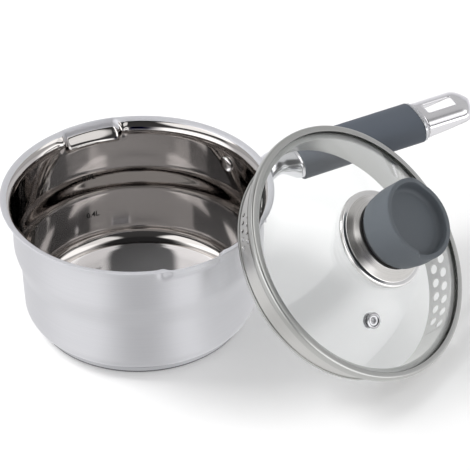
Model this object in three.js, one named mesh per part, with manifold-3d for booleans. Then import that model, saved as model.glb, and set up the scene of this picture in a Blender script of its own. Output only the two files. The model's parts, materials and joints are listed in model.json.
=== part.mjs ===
// Stainless saucepan with two pouring lips, a sleeved tube handle and a domed glass
// strainer lid that leans beside it, standing on the table on the edge of its skirt.
// Millimetres, +Z up. The origin is the middle of the underside of the base, and the
// handle points along +X.

import * as THREE from 'three';
import { mergeVertices } from 'three/addons/utils/BufferGeometryUtils.js';
import Module from 'manifold-3d';

const wasm = await Module();
wasm.setup();

// Clearances shared by every fit
const GAP = 0.3;                // between two pieces that touch
const RIVET_CLEARANCE = 0.3;    // rivet shank in its holes, on the radius
const SCREW_CLEARANCE = 0.5;    // knob screw in the pieces it passes, on the radius
const LEAN_GAP = 0.4;           // leaning lid to what it leans on

// Pot shell
const POT_INNER_D = 160;        // inside of the upper wall
const POT_H = 94;               // table to the top of the lip
const WALL_T = 0.9;
const LIP_FLARE = 7.2;          // how far the lip stands out from the outer wall
const LIP_RISE = 9.5;           // height over which the lip curves out
const STEP_TOP_Z = 61.5;        // upper end of the step in the wall
const STEP_LOW_Z = 42;          // lower end of the step
const STEP_IN = 4.3;            // how far the lower wall is drawn in
const TAPER_IN = 0.9;           // further draw from the step to the base corner
const CORNER_R = 12;            // outside radius between wall and base
const SPOUT_ANGLE = 88;         // degrees from the handle, one on each side
const SPOUT_SPAN = 29;          // degrees
const SPOUT_EDGE = 4;           // degrees over which each end folds
const SPOUT_PUSH = 5;           // how far the neck is pressed out
const SPOUT_LIP_PUSH = 0.6;     // how far the edge of the lip follows
const SPOUT_DEPTH = 13;         // height of the pressed channel

// Bonded base
const CAP_T = 0.7;              // steel cap under the heat disc
const DISC_T = 3.6;             // aluminium heat disc
const BASE_D = 134.4;

// Handle bracket and rivets
const BRACKET_W = 76;
const BRACKET_H = 17;
const BRACKET_T = 1.6;
const BRACKET_CORNER_R = 7;
const BRACKET_Z = 76.8;         // middle of the bracket above the table
const RIVET_SPACING = 54;
const RIVET_D = 5;
const RIVET_HEAD_D = 10.4;
const RIVET_HEAD_H = 1.9;

// Handle
const HANDLE_Z = 83.2;          // height of the handle's axis where it meets the wall
const HANDLE_RISE = 2.4;        // degrees
const HANDLE_LEN = 158.5;       // wall to tip
const TUBE_W = 31;
const TUBE_H = 16.8;
const TUBE_T = 1.2;
const OVAL_POWER = 2.6;         // fullness of the oval section, 2 is an ellipse
const TIP_ROUND = 9;            // length of the rounded tip in plan
const SCOOP_LEN = 36;           // length of the slanting cut under the tip
const SCOOP_START_Z = -4;       // height of that cut above the axis at its front
const SCOOP_TIP_Z = 1;          // height of that cut above the axis at the tip
const SLEEVE_T = 1.2;
const SLEEVE_START = 31.5;      // wall to the front of the sleeve
const SLEEVE_LEN = 87.2;
const TRIM_LEN = 1.6;
const TRIM_T = 0.8;
const SLOT_L = 21;
const SLOT_W = 10.8;
const SLOT_CORNER_R = 1.6;
const SLOT_TO_TIP = 10.8;
const NECK_W = 24;
const NECK_H = 11;
const NECK_LIFT = 2.6;          // neck's axis above the handle's axis at its narrowest
const NECK_SPIGOT = 14;         // length of the neck inside the tube
const NECK_HOLE_D = 3.4;
const NECK_HOLE_BACK = 4.6;     // hole centre to the end of the tube

// Lid rim and strainer skirt
const RIM_T = 0.8;
const RIM_INSET = 2;            // edge of the lid to the edge of the pot's lip
const RIM_COVER = 4.6;          // how far the crimped rim lies over the glass
const SKIRT_CLEARANCE = 2.3;    // skirt to the pot's inner wall
const SKIRT_DEPTH = 22.3;       // middle of the bead to the hem
const HEM_OUT = 0.6;
const HEM_H = 1.7;
const HEM_ROUND = 0.4;          // rounding of the hem's lower edge
const BIG_HOLE_D = 6;
const BIG_HOLE_STEP = 7;        // degrees
const BIG_HOLE_COUNT = 7;       // in the upper row, one fewer in the lower
const BIG_HOLE_DROP = 8.3;      // upper row below the middle of the bead
const BIG_ROW_PITCH = 7.5;
const BIG_HOLE_ANGLE = -47.8;   // middle of the rows, degrees in the lid's frame
const SMALL_HOLE_D = 2.4;
const SMALL_HOLE_STEP = 4.25;   // degrees
const SMALL_HOLE_COUNT = 5;     // in the lower row, one fewer in the upper
const SMALL_HOLE_DROP = 13;
const SMALL_ROW_PITCH = 4.6;

// Lid glass and steam vent
const GLASS_T = 4;
const DOME_H = 22.3;
const VENT_RADIUS = 52.8;       // vent to the lid's axis
const VENT_ANGLE = -138;        // degrees in the lid's frame
const VENT_D = 6.8;
const VENT_BORE_D = 2.8;
const VENT_FLANGE_D = 10.4;
const VENT_FLANGE_T = 1;
const VENT_RING_T = 0.9;

// Knob
const BELL_D = 65.6;
const BELL_H = 9.6;
const BELL_TOP_D = 47;
const BELL_T = 1;
const BELL_BEAD_H = 3.4;
const GASKET_T = 0.6;
const GASKET_IN_D = 56;
const GASKET_OUT_D = 62;
const COLLAR_D = 43.6;
const COLLAR_H = 4.7;
const CAP_D = 53.6;
const CAP_BOTTOM_D = 50;
const CAP_H = 23.4;             // bottom to the low half of its rim
const CAP_RIM_W = 3.2;
const CAP_HIGH_RIM = 3.3;       // how much higher the other half of the rim stands
const CAP_HIGH_ANGLE = 130;     // middle of the high half, degrees in the lid's frame
const DISH_DEPTH = 6.7;
const CORE_D = 35;
const CORE_H = 9;
const SCREW_D = 6;
const SCREW_HEAD_D = 13;
const SCREW_HEAD_H = 2.6;
const SCREW_ENGAGE = 6.5;       // thread length inside the core
const WASHER_D = 18;
const WASHER_T = 0.9;
const SEAL_D = 20;
const SEAL_T = 1.1;

// How the lid leans: bearing of its middle from the pot, and the way its knob points
const LEAN_BEARING = -40.3;     // degrees
const LEAN_AZIMUTH = -56.8;     // degrees
const LEAN_ELEVATION = 43.6;    // degrees above the table

// Facets
const SHELL_SEGMENTS = 72;
const LID_SEGMENTS = 64;
const KNOB_SEGMENTS = 32;
const SMALL_SEGMENTS = 16;

// Derived sizes
const potInnerR = POT_INNER_D / 2;
const potOuterR = potInnerR + WALL_T;
const lipR = potOuterR + LIP_FLARE;
const baseR = BASE_D / 2;
const floorZ = CAP_T + GAP + DISC_T + GAP;
const bracketInR = potOuterR + GAP;
const bracketOutR = bracketInR + BRACKET_T;
const rivetAngle = Math.asin(RIVET_SPACING / 2 / potOuterR);
const sleeveEnd = SLEEVE_START + SLEEVE_LEN;
const tubeStart = SLEEVE_START - 2;
const beadR = lipR - RIM_INSET;
const skirtR = potInnerR - SKIRT_CLEARANCE;
const hemR = skirtR + HEM_OUT;
const glassR = beadR - RIM_T - GAP;
const coverR = beadR - RIM_COVER;
const halfGlass = GLASS_T / 2;
const domeR = coverR - 2 * GAP;
const crown = halfGlass + DOME_H;
const seatZ = halfGlass + GAP;

const rad = THREE.MathUtils.degToRad;

function smooth(x) {
  const c = Math.min(1, Math.max(0, x));
  return c * c * (3 - 2 * c);
}

// Height of the glass's upper face at a radius from the lid's axis.
function domeZ(r) {
  return halfGlass + DOME_H * Math.max(0, 1 - (r / domeR) ** 2);
}

// Keeps only welded positions and drops collapsed triangles.
function weld(geometry) {
  const bare = geometry.clone();
  bare.deleteAttribute('normal');
  bare.deleteAttribute('uv');
  const merged = mergeVertices(bare, 1e-4);
  const kept = [];
  const index = merged.index.array;
  for (let i = 0; i < index.length; i += 3) {
    const [a, b, c] = [index[i], index[i + 1], index[i + 2]];
    if (a !== b && b !== c && c !== a) kept.push(a, b, c);
  }
  merged.setIndex(kept);
  return merged;
}

function toSolid(geometry) {
  const welded = weld(geometry);
  return new wasm.Manifold(new wasm.Mesh({
    numProp: 3,
    vertProperties: new Float32Array(welded.attributes.position.array),
    triVerts: new Uint32Array(welded.index.array),
  }));
}

function toGeometry(solid) {
  const mesh = solid.getMesh();
  const geometry = new THREE.BufferGeometry();
  geometry.setAttribute('position', new THREE.BufferAttribute(new Float32Array(mesh.vertProperties), 3));
  geometry.setIndex(new THREE.BufferAttribute(new Uint32Array(mesh.triVerts), 1));
  return geometry;
}

function cut(geometry, tools) {
  let solid = toSolid(geometry);
  for (const tool of tools) solid = solid.subtract(toSolid(tool));
  return toGeometry(solid);
}

function common(a, b) {
  return toGeometry(toSolid(a).intersect(toSolid(b)));
}

// Turned piece: profile of [radius, height], anticlockwise, about the Z axis.
function turned(profile, segments) {
  const points = profile.map(([r, z]) => new THREE.Vector2(r, z));
  return new THREE.LatheGeometry(points, segments).rotateX(Math.PI / 2);
}

// Turned ring: the profile closes on itself.
function turnedRing(profile, segments) {
  return turned([...profile, profile[0]], segments);
}

// Round bar between two heights on the Z axis.
function bar(radius, z0, z1, segments) {
  return turned([[0, z0], [radius, z0], [radius, z1], [0, z1]], segments);
}

// Bar that lies along a radius of a turned body, at an angle and a height.
function radialBar(radius, r0, r1, angle, z, segments) {
  const geometry = bar(radius, r0, r1, segments);
  geometry.rotateY(Math.PI / 2);
  geometry.rotateZ(angle);
  geometry.translate(0, 0, z);
  return geometry;
}

// Oval outline, width along X and height along Y.
function ovalPoints(width, height, count) {
  const points = [];
  for (let i = 0; i < count; i += 1) {
    const a = (2 * Math.PI * i) / count;
    const c = Math.cos(a);
    const s = Math.sin(a);
    const x = (width / 2) * Math.sign(c) * Math.abs(c) ** (2 / OVAL_POWER);
    const y = (height / 2) * Math.sign(s) * Math.abs(s) ** (2 / OVAL_POWER);
    points.push(new THREE.Vector2(x, y));
  }
  return points;
}

// Turns a piece extruded along Z so that it runs along X, with its outline across Y and up Z.
function alongHandle(geometry) {
  const basis = new THREE.Matrix4().makeBasis(
    new THREE.Vector3(0, 1, 0), new THREE.Vector3(0, 0, 1), new THREE.Vector3(1, 0, 0));
  return geometry.applyMatrix4(basis);
}

// Oval tube from x0 to x1 along the handle.
function ovalTube(x0, x1, width, height, boreWidth, boreHeight) {
  const shape = new THREE.Shape(ovalPoints(width, height, 40));
  shape.holes.push(new THREE.Path(ovalPoints(boreWidth, boreHeight, 40)));
  const geometry = new THREE.ExtrudeGeometry(shape, { depth: x1 - x0, bevelEnabled: false });
  return alongHandle(geometry).translate(x0, 0, 0);
}

function roundedRect(x0, y0, x1, y1, r) {
  const shape = new THREE.Shape();
  shape.moveTo(x0 + r, y0);
  shape.lineTo(x1 - r, y0);
  shape.absarc(x1 - r, y0 + r, r, -Math.PI / 2, 0, false);
  shape.lineTo(x1, y1 - r);
  shape.absarc(x1 - r, y1 - r, r, 0, Math.PI / 2, false);
  shape.lineTo(x0 + r, y1);
  shape.absarc(x0 + r, y1 - r, r, Math.PI / 2, Math.PI, false);
  shape.lineTo(x0, y0 + r);
  shape.absarc(x0 + r, y0 + r, r, Math.PI, 1.5 * Math.PI, false);
  return shape;
}

function steel(color, roughness) {
  return new THREE.MeshStandardMaterial({ color, roughness, metalness: 1 });
}

function soft(color, roughness) {
  return new THREE.MeshStandardMaterial({ color, roughness, metalness: 0 });
}

function place(parent, name, geometry, material) {
  const mesh = new THREE.Mesh(geometry, material);
  mesh.name = name;
  parent.add(mesh);
  return mesh;
}

const saucepan = new THREE.Group();

// Pot shell: one deep-drawn sheet. Its outer skin is followed out to the edge of the lip
// and its inner skin back down; each skin has the corner, the step and the curled lip.
function shellSkin(offset) {
  const skin = [];
  const wall = potOuterR - offset;
  const low = wall - STEP_IN;
  const foot = low - TAPER_IN;
  const floor = floorZ + offset;
  const corner = CORNER_R - offset;
  skin.push([0, floor]);
  for (let i = 0; i <= 4; i += 1) {
    const a = (i / 4) * (Math.PI / 2);
    skin.push([foot - corner + corner * Math.sin(a), floor + corner - corner * Math.cos(a)]);
  }
  for (let i = 0; i <= 4; i += 1) {
    const u = i / 4;
    skin.push([low + STEP_IN * smooth(u), STEP_LOW_Z + (STEP_TOP_Z - STEP_LOW_Z) * u]);
  }
  const lipStart = POT_H - LIP_RISE;
  const rise = LIP_RISE - WALL_T + offset;
  for (let i = 0; i <= 4; i += 1) {
    const a = (i / 4) * (Math.PI / 2);
    skin.push([wall + (lipR - wall) * (1 - Math.cos(a)), lipStart + rise * Math.sin(a)]);
  }
  return skin;
}

// Pouring lips: the neck is pressed outwards over SPOUT_SPAN, folding at both ends, and
// the edge of the lip follows it a little.
function spoutPush(x, y, z) {
  const channelZ = POT_H - SPOUT_DEPTH;
  const angle = THREE.MathUtils.radToDeg(Math.abs(Math.atan2(y, x)));
  const inside = SPOUT_SPAN / 2 - Math.abs(angle - SPOUT_ANGLE);
  const window = smooth(inside / SPOUT_EDGE);
  const climb = smooth((z - channelZ) / (SPOUT_DEPTH - LIP_RISE / 2));
  const outward = Math.min(1, Math.max(0, (Math.hypot(x, y) - potOuterR) / LIP_FLARE));
  return (SPOUT_PUSH + (SPOUT_LIP_PUSH - SPOUT_PUSH) * outward) * window * climb;
}

function pressSpouts(geometry) {
  const position = geometry.attributes.position;
  for (let i = 0; i < position.count; i += 1) {
    const x = position.getX(i);
    const y = position.getY(i);
    const r = Math.hypot(x, y);
    const scale = r > 0 ? 1 + spoutPush(x, y, position.getZ(i)) / r : 1;
    position.setX(i, x * scale);
    position.setY(i, y * scale);
  }
  return geometry;
}

const shellProfile = [...shellSkin(0), ...shellSkin(WALL_T).reverse()];
const shellHoles = [-1, 1].map((side) => radialBar(
  RIVET_D / 2 + RIVET_CLEARANCE, potInnerR - 4, potOuterR + 4, side * rivetAngle, BRACKET_Z, SMALL_SEGMENTS));
const shellBlank = pressSpouts(turned(shellProfile, SHELL_SEGMENTS));
place(saucepan, 'pot_shell', cut(shellBlank, shellHoles), steel(0xd9d9dc, 0.12));

// Bonded base: an aluminium heat disc closed in by a shallow steel cap.
const discR = baseR - CAP_T - GAP;
place(saucepan, 'base_disc', bar(discR, CAP_T + GAP, CAP_T + GAP + DISC_T, SHELL_SEGMENTS),
  steel(0xa8a9ab, 0.45));
const capRimZ = CAP_T + GAP + DISC_T - GAP;
place(saucepan, 'base_cap', turned([
  [0, 0],
  [baseR - CAP_T, 0],
  [baseR, CAP_T],
  [baseR, capRimZ],
  [baseR - CAP_T, capRimZ],
  [baseR - CAP_T, CAP_T],
  [0, CAP_T],
], SHELL_SEGMENTS), steel(0xb9babc, 0.3));

// Handle bracket: a curved steel strap behind two rivets.
const strap = new THREE.Shape();
const strapHalf = Math.asin(Math.min(0.95, (BRACKET_W / 2 + 5) / bracketInR));
strap.absarc(0, 0, bracketOutR, -strapHalf, strapHalf, false);
strap.absarc(0, 0, bracketInR, strapHalf, -strapHalf, true);
const strapBlank = new THREE.ExtrudeGeometry(strap, {
  depth: BRACKET_H + 10, bevelEnabled: false, curveSegments: 28,
});
strapBlank.translate(0, 0, BRACKET_Z - BRACKET_H / 2 - 5);
const strapOutline = alongHandle(new THREE.ExtrudeGeometry(
  roundedRect(-BRACKET_W / 2, BRACKET_Z - BRACKET_H / 2, BRACKET_W / 2, BRACKET_Z + BRACKET_H / 2, BRACKET_CORNER_R),
  { depth: bracketOutR + 10, bevelEnabled: false, curveSegments: 6 }));
const strapHoles = [-1, 1].map((side) => radialBar(
  RIVET_D / 2 + RIVET_CLEARANCE, bracketInR - 4, bracketOutR + 4, side * rivetAngle, BRACKET_Z, SMALL_SEGMENTS));
place(saucepan, 'handle_bracket', cut(common(strapBlank, strapOutline), strapHoles), steel(0xcfcfd2, 0.2));

// Rivets: a domed head inside the pot, a shank through wall and strap, a smaller head outside.
const headR = RIVET_HEAD_D / 2;
const rivetSeatIn = Math.sqrt(potInnerR ** 2 - headR ** 2) - GAP;
const rivetSeatOut = bracketOutR + GAP;
const rivetProfile = [
  [0, rivetSeatIn - RIVET_HEAD_H],
  [headR * 0.45, rivetSeatIn - RIVET_HEAD_H * 0.93],
  [headR * 0.8, rivetSeatIn - RIVET_HEAD_H * 0.68],
  [headR, rivetSeatIn - RIVET_HEAD_H * 0.2],
  [headR, rivetSeatIn],
  [RIVET_D / 2, rivetSeatIn],
  [RIVET_D / 2, rivetSeatOut],
  [headR * 0.85, rivetSeatOut],
  [headR * 0.85, rivetSeatOut + RIVET_HEAD_H * 0.3],
  [headR * 0.6, rivetSeatOut + RIVET_HEAD_H * 0.75],
  [0, rivetSeatOut + RIVET_HEAD_H * 0.9],
];
for (const [name, side] of [['rivet_right', -1], ['rivet_left', 1]]) {
  const rivet = place(saucepan, name, turned(rivetProfile, SMALL_SEGMENTS).rotateY(Math.PI / 2),
    steel(0xe4e4e6, 0.1));
  rivet.rotation.z = side * rivetAngle;
  rivet.position.z = BRACKET_Z;
}

// Handle: its own frame starts on the pot's outer wall, runs along +X and rises slightly.
const handle = new THREE.Group();
handle.position.set(potOuterR, 0, HANDLE_Z);
handle.rotation.y = -rad(HANDLE_RISE);
handle.updateMatrix();
saucepan.add(handle);

// Neck: a steel piece that climbs from the strap under the lip and swells to the tube,
// with a spigot inside the tube and a small cross hole.
const neckEnd = tubeStart - GAP;
const spigotW = TUBE_W - 2 * TUBE_T - 2 * GAP;
const spigotH = TUBE_H - 2 * TUBE_T - 2 * GAP;
const neckRootZ = BRACKET_Z - HANDLE_Z;
const neckStations = [
  [0, NECK_W, neckRootZ, NECK_H],
  [neckEnd * 0.2, NECK_W, neckRootZ + (NECK_LIFT - neckRootZ) * 0.34, NECK_H],
  [neckEnd * 0.38, NECK_W, neckRootZ + (NECK_LIFT - neckRootZ) * 0.76, NECK_H],
  [neckEnd * 0.56, NECK_W, NECK_LIFT, NECK_H],
  [neckEnd * 0.76, NECK_W + (TUBE_W - NECK_W) * 0.3, NECK_LIFT * 0.6, NECK_H + (TUBE_H - NECK_H) * 0.4],
  [neckEnd * 0.92, NECK_W + (TUBE_W - NECK_W) * 0.85, NECK_LIFT * 0.12, NECK_H + (TUBE_H - NECK_H) * 0.88],
  [neckEnd, TUBE_W, 0, TUBE_H],
  [neckEnd, spigotW, 0, spigotH],
  [neckEnd + NECK_SPIGOT, spigotW, 0, spigotH],
];
const neckBlank = new THREE.ExtrudeGeometry(new THREE.Shape(ovalPoints(1, 1, 32)), {
  depth: 1, steps: neckStations.length - 1, bevelEnabled: false,
});
const neckPosition = neckBlank.attributes.position;
for (let i = 0; i < neckPosition.count; i += 1) {
  const station = neckStations[Math.round(neckPosition.getZ(i) * (neckStations.length - 1))];
  const [x, width, z, height] = station;
  neckPosition.setXYZ(i, neckPosition.getX(i) * width, z + neckPosition.getY(i) * height, x);
}
const strapRoom = bar(bracketOutR + GAP, 0, 2 * POT_H, 2 * SHELL_SEGMENTS);
strapRoom.applyMatrix4(handle.matrix.clone().invert());
const neckHole = bar(NECK_HOLE_D / 2, -TUBE_W, TUBE_W, 16);
neckHole.rotateX(Math.PI / 2);
neckHole.translate(neckEnd - NECK_HOLE_BACK, 0, 0);
place(handle, 'handle_neck', cut(alongHandle(neckBlank), [strapRoom, neckHole]), steel(0xc9c9cd, 0.2));

// Tube: oval, open underneath at the tip where it is cut on a slant, with a slot to hang it by.
const tubeBlank = ovalTube(tubeStart, HANDLE_LEN, TUBE_W, TUBE_H, TUBE_W - 2 * TUBE_T, TUBE_H - 2 * TUBE_T);
const tipOutline = new THREE.Shape();
tipOutline.moveTo(tubeStart - 5, -TUBE_W);
tipOutline.lineTo(HANDLE_LEN - TIP_ROUND, -TUBE_W);
for (let i = 0; i <= 12; i += 1) {
  const a = -Math.PI / 2 + (Math.PI * i) / 12;
  tipOutline.lineTo(HANDLE_LEN - TIP_ROUND + TIP_ROUND * Math.cos(a), (TUBE_W / 2 + GAP) * Math.sin(a));
}
tipOutline.lineTo(HANDLE_LEN - TIP_ROUND, TUBE_W);
tipOutline.lineTo(tubeStart - 5, TUBE_W);
const tipPlan = new THREE.ExtrudeGeometry(tipOutline, { depth: 2 * TUBE_H, bevelEnabled: false });
tipPlan.translate(0, 0, -TUBE_H);
const slotEnd = HANDLE_LEN - SLOT_TO_TIP;
const slot = new THREE.ExtrudeGeometry(
  roundedRect(slotEnd - SLOT_L, -SLOT_W / 2, slotEnd, SLOT_W / 2, SLOT_CORNER_R),
  { depth: 2 * TUBE_H, bevelEnabled: false, curveSegments: 4 });
slot.translate(0, 0, -TUBE_H);
const scoopOutline = new THREE.Shape();
scoopOutline.moveTo(HANDLE_LEN - SCOOP_LEN, SCOOP_START_Z);
scoopOutline.lineTo(HANDLE_LEN - SCOOP_LEN, -TUBE_H);
scoopOutline.lineTo(HANDLE_LEN + 5, -TUBE_H);
scoopOutline.lineTo(HANDLE_LEN + 5, SCOOP_TIP_Z);
scoopOutline.lineTo(HANDLE_LEN, SCOOP_TIP_Z);
const scoop = new THREE.ExtrudeGeometry(scoopOutline, { depth: 2 * TUBE_W, bevelEnabled: false });
scoop.rotateX(Math.PI / 2);
scoop.translate(0, TUBE_W, 0);
place(handle, 'handle_tube', cut(common(tubeBlank, tipPlan), [slot, scoop]), steel(0xc6c4cb, 0.25));

// Sleeve: moulded silicone drawn over the tube, with a thin steel ring behind it.
const sleeveBoreW = TUBE_W + 2 * GAP;
const sleeveBoreH = TUBE_H + 2 * GAP;
place(handle, 'handle_sleeve', ovalTube(SLEEVE_START, sleeveEnd,
  sleeveBoreW + 2 * SLEEVE_T, sleeveBoreH + 2 * SLEEVE_T, sleeveBoreW, sleeveBoreH), soft(0x50565f, 0.7));
place(handle, 'handle_trim_ring', ovalTube(sleeveEnd + GAP, sleeveEnd + GAP + TRIM_LEN,
  sleeveBoreW + 2 * TRIM_T, sleeveBoreH + 2 * TRIM_T, sleeveBoreW, sleeveBoreH), steel(0xbfc1c6, 0.3));

// Leaning lid: it stands on its hem, tipped back, and is moved towards the pot along
// LEAN_BEARING until its hem or bead is LEAN_GAP from the lip, the wall or the handle.
const lean = rad(LEAN_ELEVATION);
const lidTurn = new THREE.Euler(Math.PI / 2 - lean, 0, rad(LEAN_AZIMUTH) + Math.PI / 2, 'ZYX');
const hemUnder = SKIRT_DEPTH * Math.sin(lean) + (hemR - HEM_ROUND) * Math.cos(lean);
const hemSide = (SKIRT_DEPTH - HEM_ROUND) * Math.sin(lean) + hemR * Math.cos(lean);
const lidHeight = Math.max(hemUnder, hemSide) + GAP;

function lidOutline() {
  const points = [];
  const flange = -seatZ - RIM_T;
  const rings = [[beadR, flange], [beadR, 0], [beadR, seatZ]];
  for (let i = 0; i <= 3; i += 1) rings.push([hemR - ((RIM_T + HEM_OUT) * i) / 3, -SKIRT_DEPTH]);
  for (let i = 1; i <= 8; i += 1) rings.push([skirtR, flange - ((SKIRT_DEPTH + flange) * i) / 9]);
  for (const [r, z] of rings) {
    for (let i = 0; i < 720; i += 1) {
      const a = (i / 720) * 2 * Math.PI;
      points.push(new THREE.Vector3(r * Math.cos(a), r * Math.sin(a), z).applyEuler(lidTurn));
    }
  }
  return points;
}

// Distance from a point to a filled outline, negative inside it.
function outsideOf(outline, x, y) {
  let nearest = Infinity;
  let inside = false;
  for (let i = 0; i < outline.length; i += 1) {
    const [ax, ay] = outline[i];
    const [bx, by] = outline[(i + 1) % outline.length];
    const dx = bx - ax;
    const dy = by - ay;
    const along = ((x - ax) * dx + (y - ay) * dy) / (dx * dx + dy * dy || 1);
    const u = Math.min(1, Math.max(0, along));
    nearest = Math.min(nearest, Math.hypot(x - ax - u * dx, y - ay - u * dy));
    if (ay > y !== by > y && x < ax + (dx * (y - ay)) / dy) inside = !inside;
  }
  return inside ? -nearest : nearest;
}

const potOutline = [...shellSkin(0), [lipR, POT_H], [0, POT_H]];

function clearOf(point, toHandle) {
  const r = Math.hypot(point.x, point.y) - spoutPush(point.x, point.y, Math.min(point.z, POT_H));
  const fromPot = outsideOf(potOutline, r, point.z);
  const local = point.clone().applyMatrix4(toHandle);
  if (local.x < 0 || local.x > HANDLE_LEN) return fromPot;
  const across = Math.abs(local.y) / (sleeveBoreW / 2 + SLEEVE_T);
  const up = Math.abs(local.z) / (sleeveBoreH / 2 + SLEEVE_T);
  const ring = (across ** OVAL_POWER + up ** OVAL_POWER) ** (1 / OVAL_POWER);
  return Math.min(fromPot, (ring - 1) * (sleeveBoreH / 2 + SLEEVE_T));
}

function leanDistance() {
  const outline = lidOutline();
  const toHandle = handle.matrix.clone().invert();
  const bearing = rad(LEAN_BEARING);
  const clearance = (distance) => {
    const shift = new THREE.Vector3(distance * Math.cos(bearing), distance * Math.sin(bearing), lidHeight);
    return Math.min(...outline.map((point) => clearOf(point.clone().add(shift), toHandle)));
  };
  let far = lipR + beadR + POT_H;
  while (far > 2 && clearance(far - 2) > LEAN_GAP) far -= 2;
  let near = far - 2;
  for (let i = 0; i < 12; i += 1) {
    const middle = (near + far) / 2;
    if (clearance(middle) > LEAN_GAP) far = middle;
    else near = middle;
  }
  return far;
}

const lidDistance = leanDistance();
const lid = new THREE.Group();
lid.rotation.copy(lidTurn);
lid.position.set(
  lidDistance * Math.cos(rad(LEAN_BEARING)),
  lidDistance * Math.sin(rad(LEAN_BEARING)),
  lidHeight);
saucepan.add(lid);

// Lid rim: one rolled steel ring that grips the edge of the glass and drops as a skirt,
// pierced with coarse strainer holes on one side and fine ones on the other.
const skirtIn = skirtR - RIM_T;
const rimBlank = turnedRing([
  [skirtIn, -SKIRT_DEPTH],
  [hemR - HEM_ROUND, -SKIRT_DEPTH],
  [hemR, -SKIRT_DEPTH + HEM_ROUND],
  [hemR, -SKIRT_DEPTH + HEM_H - 0.5],
  [skirtR, -SKIRT_DEPTH + HEM_H],
  [skirtR, -seatZ - RIM_T - 0.5],
  [skirtR + 0.5, -seatZ - RIM_T],
  [beadR - 0.8, -seatZ - RIM_T],
  [beadR - 0.2, -seatZ - 0.3],
  [beadR, -halfGlass + 0.4],
  [beadR, halfGlass - 0.4],
  [beadR - 0.2, seatZ + 0.3],
  [beadR - 0.8, seatZ + RIM_T],
  [coverR, seatZ + RIM_T],
  [coverR, seatZ],
  [beadR - RIM_T, seatZ],
  [beadR - RIM_T, -seatZ],
  [skirtIn + 0.5, -seatZ],
  [skirtIn, -seatZ - 0.5],
], LID_SEGMENTS);
const strainer = [];
function pierce(count, step, middle, drop, diameter, segments) {
  for (let i = 0; i < count; i += 1) {
    const angle = rad(middle + step * (i - (count - 1) / 2));
    strainer.push(radialBar(diameter / 2, skirtIn - 5, skirtR + 5, angle, -drop, segments));
  }
}
const fineAngle = BIG_HOLE_ANGLE + 180;
pierce(BIG_HOLE_COUNT, BIG_HOLE_STEP, BIG_HOLE_ANGLE, BIG_HOLE_DROP, BIG_HOLE_D, 12);
pierce(BIG_HOLE_COUNT - 1, BIG_HOLE_STEP, BIG_HOLE_ANGLE, BIG_HOLE_DROP + BIG_ROW_PITCH, BIG_HOLE_D, 12);
pierce(SMALL_HOLE_COUNT - 1, SMALL_HOLE_STEP, fineAngle, SMALL_HOLE_DROP, SMALL_HOLE_D, 8);
pierce(SMALL_HOLE_COUNT, SMALL_HOLE_STEP, fineAngle, SMALL_HOLE_DROP + SMALL_ROW_PITCH, SMALL_HOLE_D, 8);
place(lid, 'lid_rim', cut(rimBlank, strainer), steel(0xb4b6b2, 0.3));

// Glass: a pressed dome of even thickness with a flat edge, bored for the knob screw and the vent.
const glassTop = [];
for (let i = 0; i <= 6; i += 1) {
  const r = SCREW_D / 2 + SCREW_CLEARANCE + (domeR - SCREW_D / 2 - SCREW_CLEARANCE) * (i / 6);
  glassTop.push([r, domeZ(r)]);
}
const glassUnder = glassTop.map(([r, z]) => [r, z - GLASS_T]);
const glassBlank = turnedRing([
  ...glassUnder,
  [glassR, -halfGlass],
  [glassR, halfGlass],
  ...glassTop.reverse(),
], LID_SEGMENTS);
const ventTilt = Math.atan((2 * DOME_H * VENT_RADIUS) / domeR ** 2);
const vent = new THREE.Group();
vent.rotation.set(0, ventTilt, rad(VENT_ANGLE), 'ZYX');
vent.position.set(
  VENT_RADIUS * Math.cos(rad(VENT_ANGLE)),
  VENT_RADIUS * Math.sin(rad(VENT_ANGLE)),
  domeZ(VENT_RADIUS));
vent.updateMatrix();
lid.add(vent);
const ventHole = bar(VENT_D / 2 + GAP, -3 * GLASS_T, 2 * GLASS_T, SMALL_SEGMENTS);
ventHole.applyMatrix4(vent.matrix);
place(lid, 'lid_glass', cut(glassBlank, [ventHole]), new THREE.MeshStandardMaterial({
  color: 0xeef4f2, roughness: 0.05, metalness: 0, transparent: true, opacity: 0.35,
}));

// Steam vent: a polished eyelet through the glass, spread over a thin ring underneath.
const ventUnder = -GLASS_T - GAP;
const ventRingLow = ventUnder - VENT_RING_T;
const ventBoreR = VENT_BORE_D / 2;
const ventR = VENT_D / 2;
const ventFlangeR = VENT_FLANGE_D / 2;
place(vent, 'steam_vent', turnedRing([
  [ventBoreR, ventRingLow - GAP - 0.6],
  [ventFlangeR - 0.8, ventRingLow - GAP - 0.6],
  [ventFlangeR - 0.8, ventRingLow - GAP],
  [ventR, ventRingLow - GAP],
  [ventR, GAP],
  [ventFlangeR, GAP],
  [ventFlangeR, GAP + VENT_FLANGE_T * 0.5],
  [ventFlangeR - 0.8, GAP + VENT_FLANGE_T],
  [ventBoreR + 0.6, GAP + VENT_FLANGE_T],
  [ventBoreR, GAP + VENT_FLANGE_T * 0.5],
], SMALL_SEGMENTS), steel(0xd8d8da, 0.08));
place(vent, 'vent_ring', turnedRing([
  [ventR + GAP, ventRingLow],
  [ventFlangeR, ventRingLow],
  [ventFlangeR, ventUnder],
  [ventR + GAP, ventUnder],
], SMALL_SEGMENTS), steel(0xb0b0b2, 0.25));

// Knob: a gasket, a spun steel bell, a dark collar and a soft cap over a threaded core,
// all drawn to the glass by one screw with a washer and a seal underneath.
const gasketInR = GASKET_IN_D / 2;
const gasketOutR = GASKET_OUT_D / 2;
const gasketTop = domeZ(gasketInR) + GAP + GASKET_T;
place(lid, 'knob_gasket', turnedRing([
  [gasketInR, domeZ(gasketInR) + GAP],
  [gasketOutR, domeZ(gasketOutR) + GAP],
  [gasketOutR, gasketTop],
  [gasketInR, gasketTop],
], KNOB_SEGMENTS), soft(0x1c1d1f, 0.8));

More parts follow.
